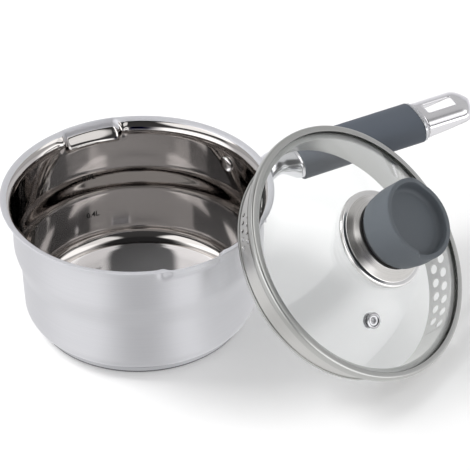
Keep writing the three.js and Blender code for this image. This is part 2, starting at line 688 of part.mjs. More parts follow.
const bellR = BELL_D / 2;
const bellTopR = BELL_TOP_D / 2;
const bellZ = gasketTop + GAP;
const bellTop = bellZ + BELL_H;
const coneFoot = bellR - BELL_BEAD_H;
const screwRoomR = SCREW_D / 2 + SCREW_CLEARANCE;
place(lid, 'knob_bell', turnedRing([
  [coneFoot - BELL_T, bellZ],
  [bellR - 1, bellZ],
  [bellR - 0.2, bellZ + BELL_BEAD_H * 0.25],
  [bellR, bellZ + BELL_BEAD_H * 0.5],
  [bellR - 0.4, bellZ + BELL_BEAD_H * 0.8],
  [bellR - 1.4, bellZ + BELL_BEAD_H],
  [coneFoot, bellZ + BELL_BEAD_H + 0.5],
  [coneFoot - (coneFoot - bellTopR) * 0.55, bellZ + BELL_BEAD_H + (BELL_H - BELL_BEAD_H) * 0.5],
  [bellTopR, bellTop - 0.8],
  [bellTopR - 0.8, bellTop],
  [screwRoomR, bellTop],
  [screwRoomR, bellTop - BELL_T],
  [bellTopR - BELL_T - 0.8, bellTop - BELL_T],
  [bellTopR - BELL_T, bellTop - BELL_T - 0.8],
  [coneFoot - BELL_T - (coneFoot - bellTopR) * 0.55, bellZ + BELL_BEAD_H + (BELL_H - BELL_BEAD_H) * 0.5 - 0.4],
  [coneFoot - BELL_T, bellZ + BELL_BEAD_H],
], KNOB_SEGMENTS), steel(0xb5aea8, 0.3));

const collarZ = bellTop + GAP;
const collarTop = collarZ + COLLAR_H;
const collarR = COLLAR_D / 2;
place(lid, 'knob_collar', turnedRing([
  [screwRoomR, collarZ],
  [collarR, collarZ],
  [collarR, collarTop],
  [screwRoomR, collarTop],
], KNOB_SEGMENTS), soft(0x141516, 0.5));

// Cap: half of its rim stands higher, so a spoon can rest across the dish.
const capZ = collarTop + GAP;
const capTop = capZ + CAP_H;
const capR = CAP_D / 2;
const capBottomR = CAP_BOTTOM_D / 2;
const coreR = CORE_D / 2;
const coreTop = capZ + CORE_H;
const dishR = capR - CAP_RIM_W;
const dishZ = capTop - DISH_DEPTH;
const capBlank = turned([
  [0, coreTop + GAP],
  [coreR + GAP, coreTop + GAP],
  [coreR + GAP, capZ],
  [capBottomR - 0.8, capZ],
  [capBottomR, capZ + 0.8],
  [capR - 0.4, capZ + CAP_H * 0.3],
  [capR, capZ + CAP_H * 0.55],
  [capR, dishZ],
  [capR, capTop - 1.4],
  [capR - 0.8, capTop],
  [dishR + 0.8, capTop],
  [dishR, capTop - 1.2],
  [dishR - 0.6, dishZ + 1.2],
  [dishR - 2.4, dishZ],
  [0, dishZ],
], KNOB_SEGMENTS);
const capPosition = capBlank.attributes.position;
for (let i = 0; i < capPosition.count; i += 1) {
  const z = capPosition.getZ(i);
  if (z > dishZ) {
    const angle = Math.atan2(capPosition.getY(i), capPosition.getX(i)) - rad(CAP_HIGH_ANGLE);
    const high = smooth(0.5 + 3 * Math.cos(angle));
    capPosition.setZ(i, z + CAP_HIGH_RIM * high * ((z - dishZ) / DISH_DEPTH));
  }
}
place(lid, 'knob_cap', capBlank, soft(0x5a6067, 0.75));

const screwHoleR = SCREW_D / 2 + GAP;
place(lid, 'knob_core', turned([
  [0, capZ + SCREW_ENGAGE + GAP],
  [screwHoleR, capZ + SCREW_ENGAGE + GAP],
  [screwHoleR, capZ],
  [coreR, capZ],
  [coreR, coreTop],
  [0, coreTop],
], KNOB_SEGMENTS), soft(0x2a2c2f, 0.6));

const sealR = SEAL_D / 2;
const sealTop = domeZ(sealR) - GLASS_T - GAP;
const washerTop = sealTop - SEAL_T - GAP;
const screwSeat = washerTop - WASHER_T - GAP;
place(lid, 'knob_seal', turnedRing([
  [screwRoomR, sealTop - SEAL_T],
  [sealR, sealTop - SEAL_T],
  [sealR, sealTop],
  [screwRoomR, sealTop],
], KNOB_SEGMENTS), soft(0xd8d6d0, 0.6));
place(lid, 'knob_washer', turnedRing([
  [screwHoleR, washerTop - WASHER_T],
  [WASHER_D / 2, washerTop - WASHER_T],
  [WASHER_D / 2, washerTop],
  [screwHoleR, washerTop],
], KNOB_SEGMENTS), steel(0xc4c4c6, 0.2));
const screwHeadR = SCREW_HEAD_D / 2;
place(lid, 'knob_screw', turned([
  [0, screwSeat - SCREW_HEAD_H],
  [screwHeadR - 1.2, screwSeat - SCREW_HEAD_H],
  [screwHeadR, screwSeat - SCREW_HEAD_H * 0.5],
  [screwHeadR, screwSeat],
  [SCREW_D / 2, screwSeat],
  [SCREW_D / 2, capZ + SCREW_ENGAGE],
  [0, capZ + SCREW_ENGAGE],
], SMALL_SEGMENTS), steel(0xcacacc, 0.15));

export default saucepan;
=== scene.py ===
import json

import bpy
import numpy as np
from mathutils import Matrix, Vector


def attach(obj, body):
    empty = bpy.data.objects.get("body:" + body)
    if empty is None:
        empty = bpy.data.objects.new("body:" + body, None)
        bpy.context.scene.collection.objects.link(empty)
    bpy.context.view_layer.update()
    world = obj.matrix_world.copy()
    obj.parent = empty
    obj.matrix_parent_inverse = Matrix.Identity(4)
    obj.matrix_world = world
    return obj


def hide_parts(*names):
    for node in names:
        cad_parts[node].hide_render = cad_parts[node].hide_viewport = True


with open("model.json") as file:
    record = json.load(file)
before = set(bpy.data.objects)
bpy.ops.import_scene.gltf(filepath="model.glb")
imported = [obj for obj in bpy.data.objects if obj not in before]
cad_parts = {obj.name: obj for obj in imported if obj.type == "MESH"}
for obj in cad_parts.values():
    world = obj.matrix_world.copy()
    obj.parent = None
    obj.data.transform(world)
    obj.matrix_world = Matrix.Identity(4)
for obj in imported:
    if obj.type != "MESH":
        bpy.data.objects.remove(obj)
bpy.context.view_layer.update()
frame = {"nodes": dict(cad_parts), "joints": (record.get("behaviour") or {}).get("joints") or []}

# Pot shell.
# One sheet of stainless steel, deep drawn: a rounded foot, a step half way up, a flared lip and
# two pouring lips pressed into it. It is polished inside and finely brushed outside.
MM = 0.001
wall_inner_r = 80.0
wall_t = 0.9
wall_outer_r = wall_inner_r + wall_t
pot_height = 94.0
lip_flare = 7.2
lip_rise = 9.5
lip_r = wall_outer_r + lip_flare
step_top = 61.5
step_low = 42.0
step_in = 4.3
taper_in = 0.9
foot_r = 12.0
shell_floor = 4.9
spout_angle = 88.0
spout_span = 29.0
spout_edge = 4.0
spout_push = 5.0
spout_lip_push = 0.3
spout_depth = 13.0
kink_share = 0.2
kink_place = 0.6
kink_width = 1.6
even_step = 1.25
fold_reach = 5.0
fold_clear = 0.7
lip_edge_share = 0.98
pot_crease = 28.0
lip_rows_outside = 8
lip_rows_inside = 6
chute_rows = 13
floor_rows = 8


def smooth(x):
    """Smooth step: 3x² - 2x³ between 0 and 1, flat outside."""
    x = np.clip(x, 0.0, 1.0)
    return x * x * (3.0 - 2.0 * x)


def spread(*values):
    """Values side by side in a last axis, each spread over the shape of the others first."""
    return np.stack(np.broadcast_arrays(*values), -1)


def around(steps):
    """Even angles of a full turn."""
    return np.linspace(0.0, 2 * np.pi, steps, endpoint=False)


def grid_faces(rows, columns, close_rows, close_columns):
    """Quads between neighbouring points of a grid; a closed direction joins its last line to its first."""
    r = np.arange(rows if close_rows else rows - 1)
    c = np.arange(columns if close_columns else columns - 1)
    r, c = np.meshgrid(r, c, indexing="ij")
    r2, c2 = (r + 1) % rows, (c + 1) % columns
    quads = spread(r * columns + c, r * columns + c2, r2 * columns + c2, r2 * columns + c)
    return quads.reshape(-1, 4)


def turned(profile, steps, closed):
    """Points and faces of a profile (radius, height) carried round the Z axis: x = r cos a, y = r sin a.
    steps is a number of even steps or the angles themselves. A closed profile is a ring; an open one
    starts and ends on the axis."""
    profile = np.asarray(profile, float)
    a = around(steps) if np.isscalar(steps) else steps
    count = len(a)
    rows = profile if closed else profile[1:-1]
    points = spread(rows[:, :1] * np.cos(a), rows[:, :1] * np.sin(a), rows[:, 1:]).reshape(-1, 3)
    faces = grid_faces(len(rows), count, closed, True).tolist()
    if not closed:
        pole = len(points)
        here = np.arange(count)
        there = (here + 1) % count
        top = (len(rows) - 1) * count
        faces += spread(pole, there, here).tolist()
        faces += spread(top + here, top + there, pole + 1).tolist()
        points = np.concatenate([points, [[0, 0, profile[0, 1]], [0, 0, profile[-1, 1]]]])
    return points, faces


def put_piece(name, points, faces, crease=35.0):
    """Makes an object of points in millimetres; edges that turn by more than crease degrees stay sharp."""
    mesh = bpy.data.meshes.new(name)
    mesh.from_pydata((np.asarray(points, float) * MM).tolist(), [], faces)
    mesh.update()
    mesh.polygons.foreach_set("use_smooth", np.ones(len(mesh.polygons), bool))
    mesh.set_sharp_from_angle(angle=np.radians(crease))
    piece = bpy.data.objects.new(name, mesh)
    bpy.context.scene.collection.objects.link(piece)
    return piece


def shell_skin(offset):
    """Profile of one skin of the shell: floor, quarter-round foot, wall, smooth-step shoulder, wall
    and an elliptic quarter turn into the lip. offset is the depth below the outer skin."""
    wall = wall_outer_r - offset
    low = wall - step_in
    foot = low - taper_in
    corner = foot_r - offset
    floor = shell_floor + offset
    a = np.linspace(0.0, np.pi / 2, 15)
    flat = spread(np.linspace(0.0, foot - corner, 8), floor)
    bend = spread(foot - corner + corner * np.sin(a), floor + corner * (1 - np.cos(a)))
    u = np.linspace(0.0, 1.0, 8)[1:-1]
    side = spread(foot + taper_in * u, floor + corner + (step_low - floor - corner) * u)
    u = np.linspace(0.0, 1.0, 19)
    shoulder = spread(low + step_in * smooth(u), step_low + (step_top - step_low) * u)
    lip_start = pot_height - lip_rise
    u = np.linspace(0.0, 1.0, 18)[1:-1]
    upper = spread(wall, step_top + (lip_start - step_top) * u)
    rise = lip_rise - wall_t + offset
    a = np.linspace(0.0, np.pi / 2, 19)
    lip = spread(wall + (lip_r - wall) * (1 - np.cos(a)), lip_start + rise * np.sin(a))
    return np.concatenate([flat, bend[1:], side, shoulder, upper, lip])


def press_spouts(points):
    """Moves the neck outwards over each pouring lip, with a small inward kink at both folded ends.
    The push grows with height and shrinks towards the edge of the lip."""
    r = np.hypot(points[:, 0], points[:, 1])
    angle = np.degrees(np.abs(np.arctan2(points[:, 1], points[:, 0])))
    inside = spout_span / 2 - np.abs(angle - spout_angle)
    window = smooth(inside / spout_edge) - kink_share * np.exp(-((inside + kink_place) / kink_width) ** 2)
    climb = smooth((points[:, 2] - pot_height + spout_depth) / (spout_depth - lip_rise / 2))
    outward = np.clip((r - wall_outer_r) / lip_flare, 0.0, 1.0)
    push = spout_push + (spout_lip_push - spout_push) * outward
    window = np.where(outward > lip_edge_share, np.maximum(window, 0.0), window)
    scale = 1.0 + push * window * climb / np.maximum(r, 1e-6)
    return points * spread(scale, scale, 1.0)


def spout_angles():
    """Angles round the pot in radians: even steps, with finer ones near the folded ends."""
    even = np.arange(-180.0, 180.0, even_step)
    ends = spout_angle + np.array([-0.5, 0.5]) * spout_span
    fold = np.linspace(-fold_reach, fold_reach, 33)
    fine = np.concatenate([side * (end + fold) for side in (-1, 1) for end in ends])
    near = np.min(np.abs(even[:, None] - fine[None, :]), axis=1) < fold_clear
    return np.radians(np.sort(np.concatenate([even[~near], fine])))


outer_skin = shell_skin(0.0)
inner_skin = shell_skin(wall_t)
angles = spout_angles()
profile = np.concatenate([outer_skin, inner_skin[::-1]])
points, faces = turned(profile, angles, False)
pot_shell = put_piece("pot_shell_drawn", press_spouts(points), faces, pot_crease)


def add_node(tree, kind, inputs, **settings):
    """A new node with its settings; each input is a socket to join or a plain value."""
    made = tree.nodes.new(kind)
    for label, value in settings.items():
        setattr(made, label, value)
    for label, value in inputs.items():
        if isinstance(value, bpy.types.NodeSocket):
            tree.links.new(value, made.inputs[label])
        else:
            made.inputs[label].default_value = value
    return made


def noise(tree, vector, scale, detail, rough=0.5):
    """Value of a three-dimensional noise texture read at vector."""
    inputs = {"Vector": vector, "Scale": scale, "Detail": detail, "Roughness": rough}
    return add_node(tree, "ShaderNodeTexNoise", inputs).outputs["Fac"]


def maths(tree, kind, first, second=0.0):
    """Result of a Math node; each value is a socket or a number."""
    return add_node(tree, "ShaderNodeMath", {0: first, 1: second}, operation=kind).outputs["Value"]


def effect(name):
    """A new node group that takes a vector and a range of roughness, and the sockets it is given."""
    tree = bpy.data.node_groups.new(name, "ShaderNodeTree")
    tree.interface.new_socket("Vector", in_out="INPUT", socket_type="NodeSocketVector")
    for label in ("Low", "High"):
        tree.interface.new_socket(label, in_out="INPUT", socket_type="NodeSocketFloat")
    for label in ("Roughness", "Height", "Tone"):
        tree.interface.new_socket(label, in_out="OUTPUT", socket_type="NodeSocketFloat")
    return tree, tree.nodes.new("NodeGroupInput").outputs


def end_effect(tree, given, height, amount):
    """Gives an effect its outputs: amount is the tone, and sets the roughness between Low and High."""
    span = maths(tree, "SUBTRACT", given["High"], given["Low"])
    rough = maths(tree, "ADD", given["Low"], maths(tree, "MULTIPLY", amount, span))
    add_node(tree, "NodeGroupOutput", {"Roughness": rough, "Height": height, "Tone": amount})


# Brushed lines: long streaks along one direction of the vector given, and slow patches of handling.
brushed, given = effect("brushed_steel")
streaks = noise(brushed, given["Vector"], 1.0, 3.0, 0.6)
wide = add_node(brushed, "ShaderNodeVectorMath", {0: given["Vector"], "Scale": 0.05}, operation="SCALE")
handled = noise(brushed, wide.outputs["Vector"], 1.0, 2.0)
streak_share = maths(brushed, "MULTIPLY", streaks, 0.7)
handled_share = maths(brushed, "MULTIPLY", handled, 0.3)
end_effect(brushed, given, streaks, maths(brushed, "ADD", streak_share, handled_share))


def new_finish(name):
    """A material with a plain Principled shader joined to its output."""
    finish = bpy.data.materials.new(name)
    finish.use_nodes = True
    tree = finish.node_tree
    tree.nodes.clear()
    shader = tree.nodes.new("ShaderNodeBsdfPrincipled")
    add_node(tree, "ShaderNodeOutputMaterial", {"Surface": shader.outputs["BSDF"]})
    return finish, tree, shader


def stretched(tree, stretch, centre=(0, 0, 0), turn=(0, 0, 0)):
    """Object coordinates seen in a frame at centre and turn, then multiplied by stretch, which is one
    number or three."""
    where = tree.nodes.new("ShaderNodeTexCoord").outputs["Object"]
    inputs = {"Vector": where, "Location": centre, "Rotation": turn}
    moved = add_node(tree, "ShaderNodeMapping", inputs, vector_type="TEXTURE").outputs["Vector"]
    inputs = {"Vector": moved, "Scale": np.broadcast_to(stretch, 3).astype(float)}
    return add_node(tree, "ShaderNodeMapping", inputs, vector_type="POINT").outputs["Vector"]


def dress(tree, shader, group, vector, dark, light, low, high, depth):
    """Joins an effect to a shader: a colour between dark and light, a roughness between low and high
    and a relief of depth micrometres follow the same marks."""
    marks = add_node(tree, "ShaderNodeGroup", {"Vector": vector, "Low": low, "High": high}, node_tree=group)
    colours = {"Factor": marks.outputs["Tone"], "A": (*dark, 1.0), "B": (*light, 1.0)}
    colour = add_node(tree, "ShaderNodeMix", colours, data_type="RGBA")
    relief = {"Height": marks.outputs["Height"], "Distance": depth * 1e-6, "Strength": 1.0}
    bump = add_node(tree, "ShaderNodeBump", relief)
    tree.links.new(colour.outputs["Result"], shader.inputs["Base Color"])
    tree.links.new(marks.outputs["Roughness"], shader.inputs["Roughness"])
    tree.links.new(bump.outputs["Normal"], shader.inputs["Normal"])


def coat(piece, *finishes):
    """Gives a piece its materials, in this order."""
    for finish in finishes:
        piece.data.materials.append(finish)


def steel_finish(
    name, dark, light, low, high, stretch, depth, centre=(0, 0, 0), turn=(0, 0, 0), metallic=1.0
):
    """Steel with brushed streaks, long where stretch is small, in a frame at centre and turn."""
    finish, tree, shader = new_finish(name)
    dress(tree, shader, brushed, stretched(tree, stretch, centre, turn), dark, light, low, high, depth)
    shader.inputs["Metallic"].default_value = metallic
    return finish


satin_steel = steel_finish(
    "pot_satin_steel", (0.61, 0.61, 0.635), (0.73, 0.73, 0.755), 0.36, 0.46, (14, 14, 2400), 4.0
)
mirror_steel = steel_finish(
    "pot_polished_steel", (0.5, 0.477, 0.46), (0.57, 0.545, 0.53), 0.03, 0.07, (30, 30, 900), 0.4
)
lip_steel = steel_finish(
    "pot_lip_steel", (0.6, 0.6, 0.63), (0.68, 0.68, 0.71), 0.42, 0.5, 300, 2.0, metallic=0.55
)
ground_steel = steel_finish(
    "pot_ground_steel", (0.84, 0.84, 0.86), (0.92, 0.92, 0.94), 0.06, 0.12, 500, 0.4, metallic=0.85
)
round_pot = add_node(satin_steel.node_tree, "ShaderNodeTangent", {}, direction_type="RADIAL", axis="Z")
brushing = satin_steel.node_tree.nodes["Principled BSDF"].inputs
brushing["Anisotropic"].default_value = 0.85
brushing["Anisotropic Rotation"].default_value = 0.25
satin_steel.node_tree.links.new(round_pot.outputs["Tangent"], brushing["Tangent"])
coat(pot_shell, satin_steel, mirror_steel, lip_steel, ground_steel)
SATIN, MIRROR, LIP, GROUND = range(4)
turns = len(angles)
bands = len(profile) - 3
lip_top = len(outer_skin) - 1
row = np.repeat(np.arange(bands), turns)
from_fold = spout_span / 2 - np.abs(np.abs(np.degrees(angles)) - spout_angle)
in_chute = np.tile(from_fold > 1.0, bands) & (row < lip_top + chute_rows)
on_floor = row >= bands - floor_rows
inside = (row >= lip_top + lip_rows_inside) & ~in_chute
on_lip = row >= lip_top - lip_rows_outside
finish_of = np.select([on_floor, inside, on_lip], [GROUND, MIRROR, LIP], SATIN)
finish_of = np.concatenate([finish_of, np.full(turns, SATIN), np.full(turns, GROUND)]).astype(np.int32)
pot_shell.data.polygons.foreach_set("material_index", finish_of)
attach(pot_shell, "pot")
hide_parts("pot_shell")

# Capacity marks.
# Two figures in litres, etched dark into the polished inside of the wall at the levels they name. They
# have next to no depth.
mark_size = 5.4
mark_depth = 0.03
mark_bold = 0.1
mark_turn = np.radians(91.0)
mark_grey = steel_finish("mark_etched_grey", (0.03, 0.03, 0.03), (0.06, 0.06, 0.06), 0.5, 0.65, 900, 2.0)


def level_mark(name, figures, level):
    """Letters as a thin plate laid on the inner wall: the way along the text becomes an angle, x / r,
    and the radius follows the wall's profile at each height."""
    letters = bpy.data.curves.new(name, "FONT")
    letters.body = figures
    letters.size = mark_size
    letters.extrude = mark_depth
    letters.offset = mark_bold
    letters.resolution_u = 3
    letters.align_x = "CENTER"
    letters.align_y = "CENTER"
    sign = bpy.data.objects.new(name, letters)
    bpy.context.scene.collection.objects.link(sign)
    plate = bpy.data.meshes.new_from_object(sign.evaluated_get(bpy.context.evaluated_depsgraph_get()))
    at = np.empty(3 * len(plate.vertices))
    plate.vertices.foreach_get("co", at)
    at, same = np.unique(np.round(at.reshape(-1, 3), 4), axis=0, return_inverse=True)
    faces = [same.reshape(-1)[list(face.vertices)].tolist() for face in plate.polygons]
    bpy.data.objects.remove(sign)
    bpy.data.curves.remove(letters)
    bpy.data.meshes.remove(plate)
    z = level + at[:, 1]
    r = np.interp(z, inner_skin[:, 1], inner_skin[:, 0]) - 2 * mark_depth - at[:, 2]
    a = mark_turn - at[:, 0] / r
    return put_piece(name, spread(r * np.cos(a), r * np.sin(a), z), faces)


for name, figures, level in (("mark_low_etched", "0.4L", 29.0), ("mark_high_etched", "0.9L", 56.5)):
    mark = level_mark(name, figures, level)
    coat(mark, mark_grey)
    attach(mark, "pot")

# Bonded base.
# An aluminium heat disc pressed on under the shell and closed in by a shallow cap of thin steel,
# so from outside only the cap and a fine joint show. The cap's lower corner is painted dark: painted shade
# for the contact shadow where it meets the table.
cap_t = 0.7
disc_t = 3.6
joint_gap = 0.3
base_r = 67.2
cap_steps = 192
disc_steps = 160
corner_rows = 5


def rounded(corners, steps=6, closed=True):
    """Outline of corners (x, y, radius): each corner is replaced by a parabola that leaves both sides
    at radius times tan(half the turn), as a fillet does."""
    corners = np.asarray(corners, float)
    here, radius = corners[:, :2], corners[:, 2]
    back, ahead = np.roll(here, 1, 0) - here, np.roll(here, -1, 0) - here
    long_back, long_ahead = np.linalg.norm(back, axis=1), np.linalg.norm(ahead, axis=1)
    back, ahead = back / long_back[:, None], ahead / long_ahead[:, None]
    turn = np.pi - np.arccos(np.clip((back * ahead).sum(1), -1, 1))
    cut = np.minimum(radius * np.tan(turn / 2), 0.48 * np.minimum(long_back, long_ahead))
    if not closed:
        cut[[0, -1]] = 0.0
    u = np.linspace(0.0, 1.0, steps)[None, :, None]
    start, end = here + back * cut[:, None], here + ahead * cut[:, None]
    arcs = (1 - u) ** 2 * start[:, None] + 2 * u * (1 - u) * here[:, None] + u**2 * end[:, None]
    keep = [arcs[i] if cut[i] > 1e-9 else here[i : i + 1] for i in range(len(here))]
    return np.concatenate(keep)


cap_edge = cap_t + disc_t
base_outline = rounded([
    (0, 0, 0),
    (base_r, 0, 1.6),
    (base_r, cap_edge, 0.3),
    (base_r - cap_t, cap_edge, 0.3),
    (base_r - cap_t, cap_t, 0.9),
    (0, cap_t, 0),
], closed=False)
base_cap = put_piece("base_cap_pressed", *turned(base_outline, cap_steps, False))
for name, dark, light in (
    ("base_cap_steel", (0.45, 0.455, 0.475), (0.56, 0.565, 0.585)),
    ("base_corner_painted_shade", (0.1, 0.1, 0.11), (0.16, 0.16, 0.17)),
):
    coat(base_cap, steel_finish(name, dark, light, 0.3, 0.45, (60, 60, 1500), 3.0))
# The lower corner rows take the near-black finish: painted shade, the contact shadow along the table.
corner_painted_shade = np.arange(len(base_cap.data.polygons)) < corner_rows * cap_steps
base_cap.data.polygons.foreach_set("material_index", corner_painted_shade.astype(np.int32))
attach(base_cap, "pot")
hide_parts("base_cap")

disc_low = cap_t + joint_gap
disc_top = disc_low + disc_t
disc_r = base_r - cap_t - joint_gap
disc_corners = [(0, disc_low, 0), (disc_r, disc_low, 0.5), (disc_r, disc_top, 0.5), (0, disc_top, 0)]
base_disc = put_piece("base_disc_pressed", *turned(rounded(disc_corners, closed=False), disc_steps, False))
coat(base_disc, steel_finish(
    "heat_disc_aluminium", (0.5, 0.5, 0.51), (0.64, 0.64, 0.65), 0.4, 0.6, (80, 80, 600), 6.0
))
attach(base_disc, "pot")
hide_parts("base_disc")

# Handle bracket.
# A curved strap of sheet steel that lies on the pot's wall under the lip; two rivets hold it and
# the neck of the handle is welded to its middle.
bracket_w = 76.0
bracket_h = 17.0
bracket_t = 1.6
bracket_z = 76.8
bracket_corner = 7.0
bracket_in = wall_outer_r + joint_gap
strap_half = np.arcsin(bracket_w / 2 / bracket_in) * bracket_in


def strap_outline(across):
    """Half-height of the rounded strap at a distance across: a quarter circle takes off each corner."""
    inside = strap_half - np.abs(across)
    d = np.clip(bracket_corner - inside, 0.0, bracket_corner)
    return bracket_h / 2 - bracket_corner + np.sqrt(bracket_corner**2 - d**2)


def on_wall(across, up, radius):
    """Wraps strap points onto a cylinder: the distance across becomes an angle, x = r cos(y / r)."""
    a = across / bracket_in
    return spread(radius * np.cos(a), radius * np.sin(a), bracket_z + up).reshape(-1, 3)


bend = strap_half - bracket_corner * (1 - np.cos(np.linspace(0.0, np.pi / 2, 9)))
across = np.concatenate([-bend, np.linspace(-bend[-1], bend[-1], 33)[1:-1], bend[::-1]])
up = strap_outline(across)[:, None] * np.linspace(-1.0, 1.0, 7)[None, :]
outer_face = on_wall(across[:, None], up, bracket_in + bracket_t)
inner_face = on_wall(across[:, None], up, bracket_in)
count = len(outer_face)
outside = grid_faces(*up.shape, False, False)[:, ::-1]
place = np.arange(count).reshape(up.shape)
loop = np.concatenate([place[:-1, 0], place[-1, :-1], place[:0:-1, -1], place[0, :0:-1]])
after = np.roll(loop, -1)
edges = spread(loop, count + loop, count + after, after)
faces = np.concatenate([outside, outside[:, ::-1] + count, edges]).tolist()
handle_bracket = put_piece("handle_bracket_strap", np.concatenate([outer_face, inner_face]), faces)
coat(handle_bracket, steel_finish("bracket_steel", (0.6, 0.6, 0.62), (0.7, 0.7, 0.72), 0.16, 0.3, 200, 3.0))
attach(handle_bracket, "pot")
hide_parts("handle_bracket")

# Rivets.
# Two solid steel rivets through the wall and the strap, with broad domed heads inside the pot and
# smaller ones outside.
rivet_spacing = 54.0
rivet_r = 2.5
head_r = 5.2
head_h = 1.9
head_edge = 0.35
rivet_steps = 48
small_head_r = head_r * 0.85
small_head_h = head_h * 0.9
seat_in = np.sqrt(wall_inner_r**2 - head_r**2) - joint_gap
seat_out = bracket_in + bracket_t + joint_gap


def dome(radius, foot, top):
    """Quarter ellipse from the rim of a head to its crown, as (radius, height)."""
    a = np.linspace(0.0, np.pi / 2, 12)
    return spread(radius * np.cos(a), foot + (top - foot) * np.sin(a))


inside_head = dome(head_r, seat_in - head_edge, seat_in - head_h)[::-1]
outside_head = dome(small_head_r, seat_out + head_edge, seat_out + small_head_h)
shank = np.array([[head_r, seat_in], [rivet_r, seat_in], [rivet_r, seat_out], [small_head_r, seat_out]])
rivet_outline = np.concatenate([inside_head, shank, outside_head])
rivet_outline[[0, -1], 0] = 0.0
rivet_steel = steel_finish("rivet_steel", (0.74, 0.73, 0.72), (0.82, 0.81, 0.8), 0.08, 0.18, 300, 4.0)
rivet_turn = np.arcsin(rivet_spacing / 2 / wall_outer_r)
points, faces = turned(rivet_outline, rivet_steps, False)
radial, across, up = points[:, 2], points[:, 1], -points[:, 0]
for solid, side in (("rivet_left", 1), ("rivet_right", -1)):
    c, s = np.cos(side * rivet_turn), np.sin(side * rivet_turn)
    placed = spread(radial * c - across * s, radial * s + across * c, bracket_z + up)
    rivet = put_piece(solid + "_headed", placed, faces)
    coat(rivet, rivet_steel)
    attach(rivet, "pot")
    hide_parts(solid)

# Handle neck.
# A steel neck that climbs from the strap, swells to the section of the tube and ends in a spigot
# inside it. A small drain hole goes through it near the tube.
handle_z = 83.2
handle_rise = np.radians(2.4)
tube_w = 31.0
tube_h = 16.8
tube_t = 1.2
oval_power = 2.6
neck_power = 2.05
tube_start = 29.5
neck_w = 24.0
neck_h = 11.0
neck_lift = 2.6
neck_end = tube_start - joint_gap
spigot_len = 14.0
drain_r = 1.7
drain_x = neck_end - 4.6
neck_steps = 96
neck_crease = 40.0
root_slope = 0.02
drain_steps = 32


def oval(a, half_w, half_h, fullness=oval_power):
    """Rounded oval |y/w|^p + |z/h|^p = 1, by angle."""
    c, s = np.cos(a), np.sin(a)
    power = 2.0 / fullness
    return half_w * np.sign(c) * np.abs(c) ** power, half_h * np.sign(s) * np.abs(s) ** power


def at_handle(points):
    """Places points of the handle's own frame, which starts on the pot's wall and rises a little."""
    x, y, z = points.reshape(-1, 3).T
    c, s = np.cos(handle_rise), np.sin(handle_rise)
    return spread(wall_outer_r + x * c - z * s, y, handle_z + x * s + z * c)


def capped_tube(rows, columns):
    """Faces of a stack of rings whose two ends are closed by one flat face each."""
    faces = grid_faces(rows, columns, False, True).tolist()
    faces.append(np.arange(columns)[::-1].tolist())
    faces.append((np.arange(columns) + (rows - 1) * columns).tolist())
    return faces


def through(keys, values, at):
    """Smooth curve through key values: a cubic whose slope at each key is that of its neighbours."""
    slope = np.gradient(values, keys)
    i = np.clip(np.searchsorted(keys, at) - 1, 0, len(keys) - 2)
    h = keys[i + 1] - keys[i]
    u = (at - keys[i]) / h
    ends = values[i] * (1 + 2 * u) * (1 - u) ** 2 + values[i + 1] * u**2 * (3 - 2 * u)
    return ends + slope[i] * h * u * (1 - u) ** 2 - slope[i + 1] * h * u**2 * (1 - u)


def drilled(piece, cutter):
    """Takes the cutter's form out of the piece and keeps the result as the piece's own mesh."""
    cut = piece.modifiers.new("drill", "BOOLEAN")
    cut.object = cutter
    cut.solver = "EXACT"
    bpy.context.view_layer.update()
    whole = piece.data
    piece.data = bpy.data.meshes.new_from_object(piece.evaluated_get(bpy.context.evaluated_depsgraph_get()))
    piece.modifiers.clear()
    piece.data.name = whole.name
    bpy.data.meshes.remove(whole)
    bit = cutter.data
    bpy.data.objects.remove(cutter)
    bpy.data.meshes.remove(bit)


keys = np.array([0.0, 0.2, 0.38, 0.56, 0.76, 0.92, 1.0])
root_z = bracket_z - handle_z
climbing = root_z + (neck_lift - root_z) * np.array([0.0, 0.34, 0.76, 1.0])
key_z = np.concatenate([climbing, neck_lift * np.array([0.6, 0.12, 0.0])])
key_w = neck_w + (tube_w - neck_w) * np.array([0.0, 0.0, 0.0, 0.0, 0.3, 0.85, 1.0])
key_h = neck_h + (tube_h - neck_h) * np.array([0.0, 0.0, 0.0, 0.0, 0.4, 0.88, 1.0])
spigot_less = 2 * tube_t + 2 * joint_gap
spigot_w, spigot_h = tube_w - spigot_less, tube_h - spigot_less
u = np.linspace(0.0, 1.0, 41)
station_x = np.concatenate([u * neck_end, [neck_end, neck_end + 0.3, neck_end + spigot_len]])[:, None]
station_z = np.concatenate([through(keys, key_z, u), [0.0, 0.0, 0.0]])[:, None]
station_w = np.concatenate([through(keys, key_w, u), [tube_w - 1.0, spigot_w, spigot_w]])[:, None]
station_h = np.concatenate([through(keys, key_h, u), [tube_h - 1.0, spigot_h, spigot_h]])[:, None]
filling = neck_power + (oval_power - neck_power) * smooth((u - 0.6) / 0.4)
fullness = np.concatenate([filling, np.full(3, oval_power)])[:, None]
y, z = oval(around(neck_steps), station_w / 2, station_h / 2, fullness)
touch = np.sqrt(np.maximum(seat_out**2 - y**2, 0.0)) - wall_outer_r
x = np.maximum(station_x, touch + root_slope * station_x)
points = spread(x, y, station_z + z)
handle_neck = put_piece("handle_neck_swelled", at_handle(points), capped_tube(*x.shape), neck_crease)
a = around(drain_steps)
reach = np.array([-tube_w, tube_w])[:, None]
drill = spread(drain_x + drain_r * np.cos(a), reach, drain_r * np.sin(a))
drilled(handle_neck, put_piece("drill_bit", at_handle(drill), capped_tube(2, drain_steps)))
neck_steel = steel_finish("neck_polished_steel", (0.76, 0.76, 0.78), (0.86, 0.86, 0.88), 0.14, 0.24, 300, 2.0)
coat(handle_neck, neck_steel)
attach(handle_neck, "pot")
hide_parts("handle_neck")

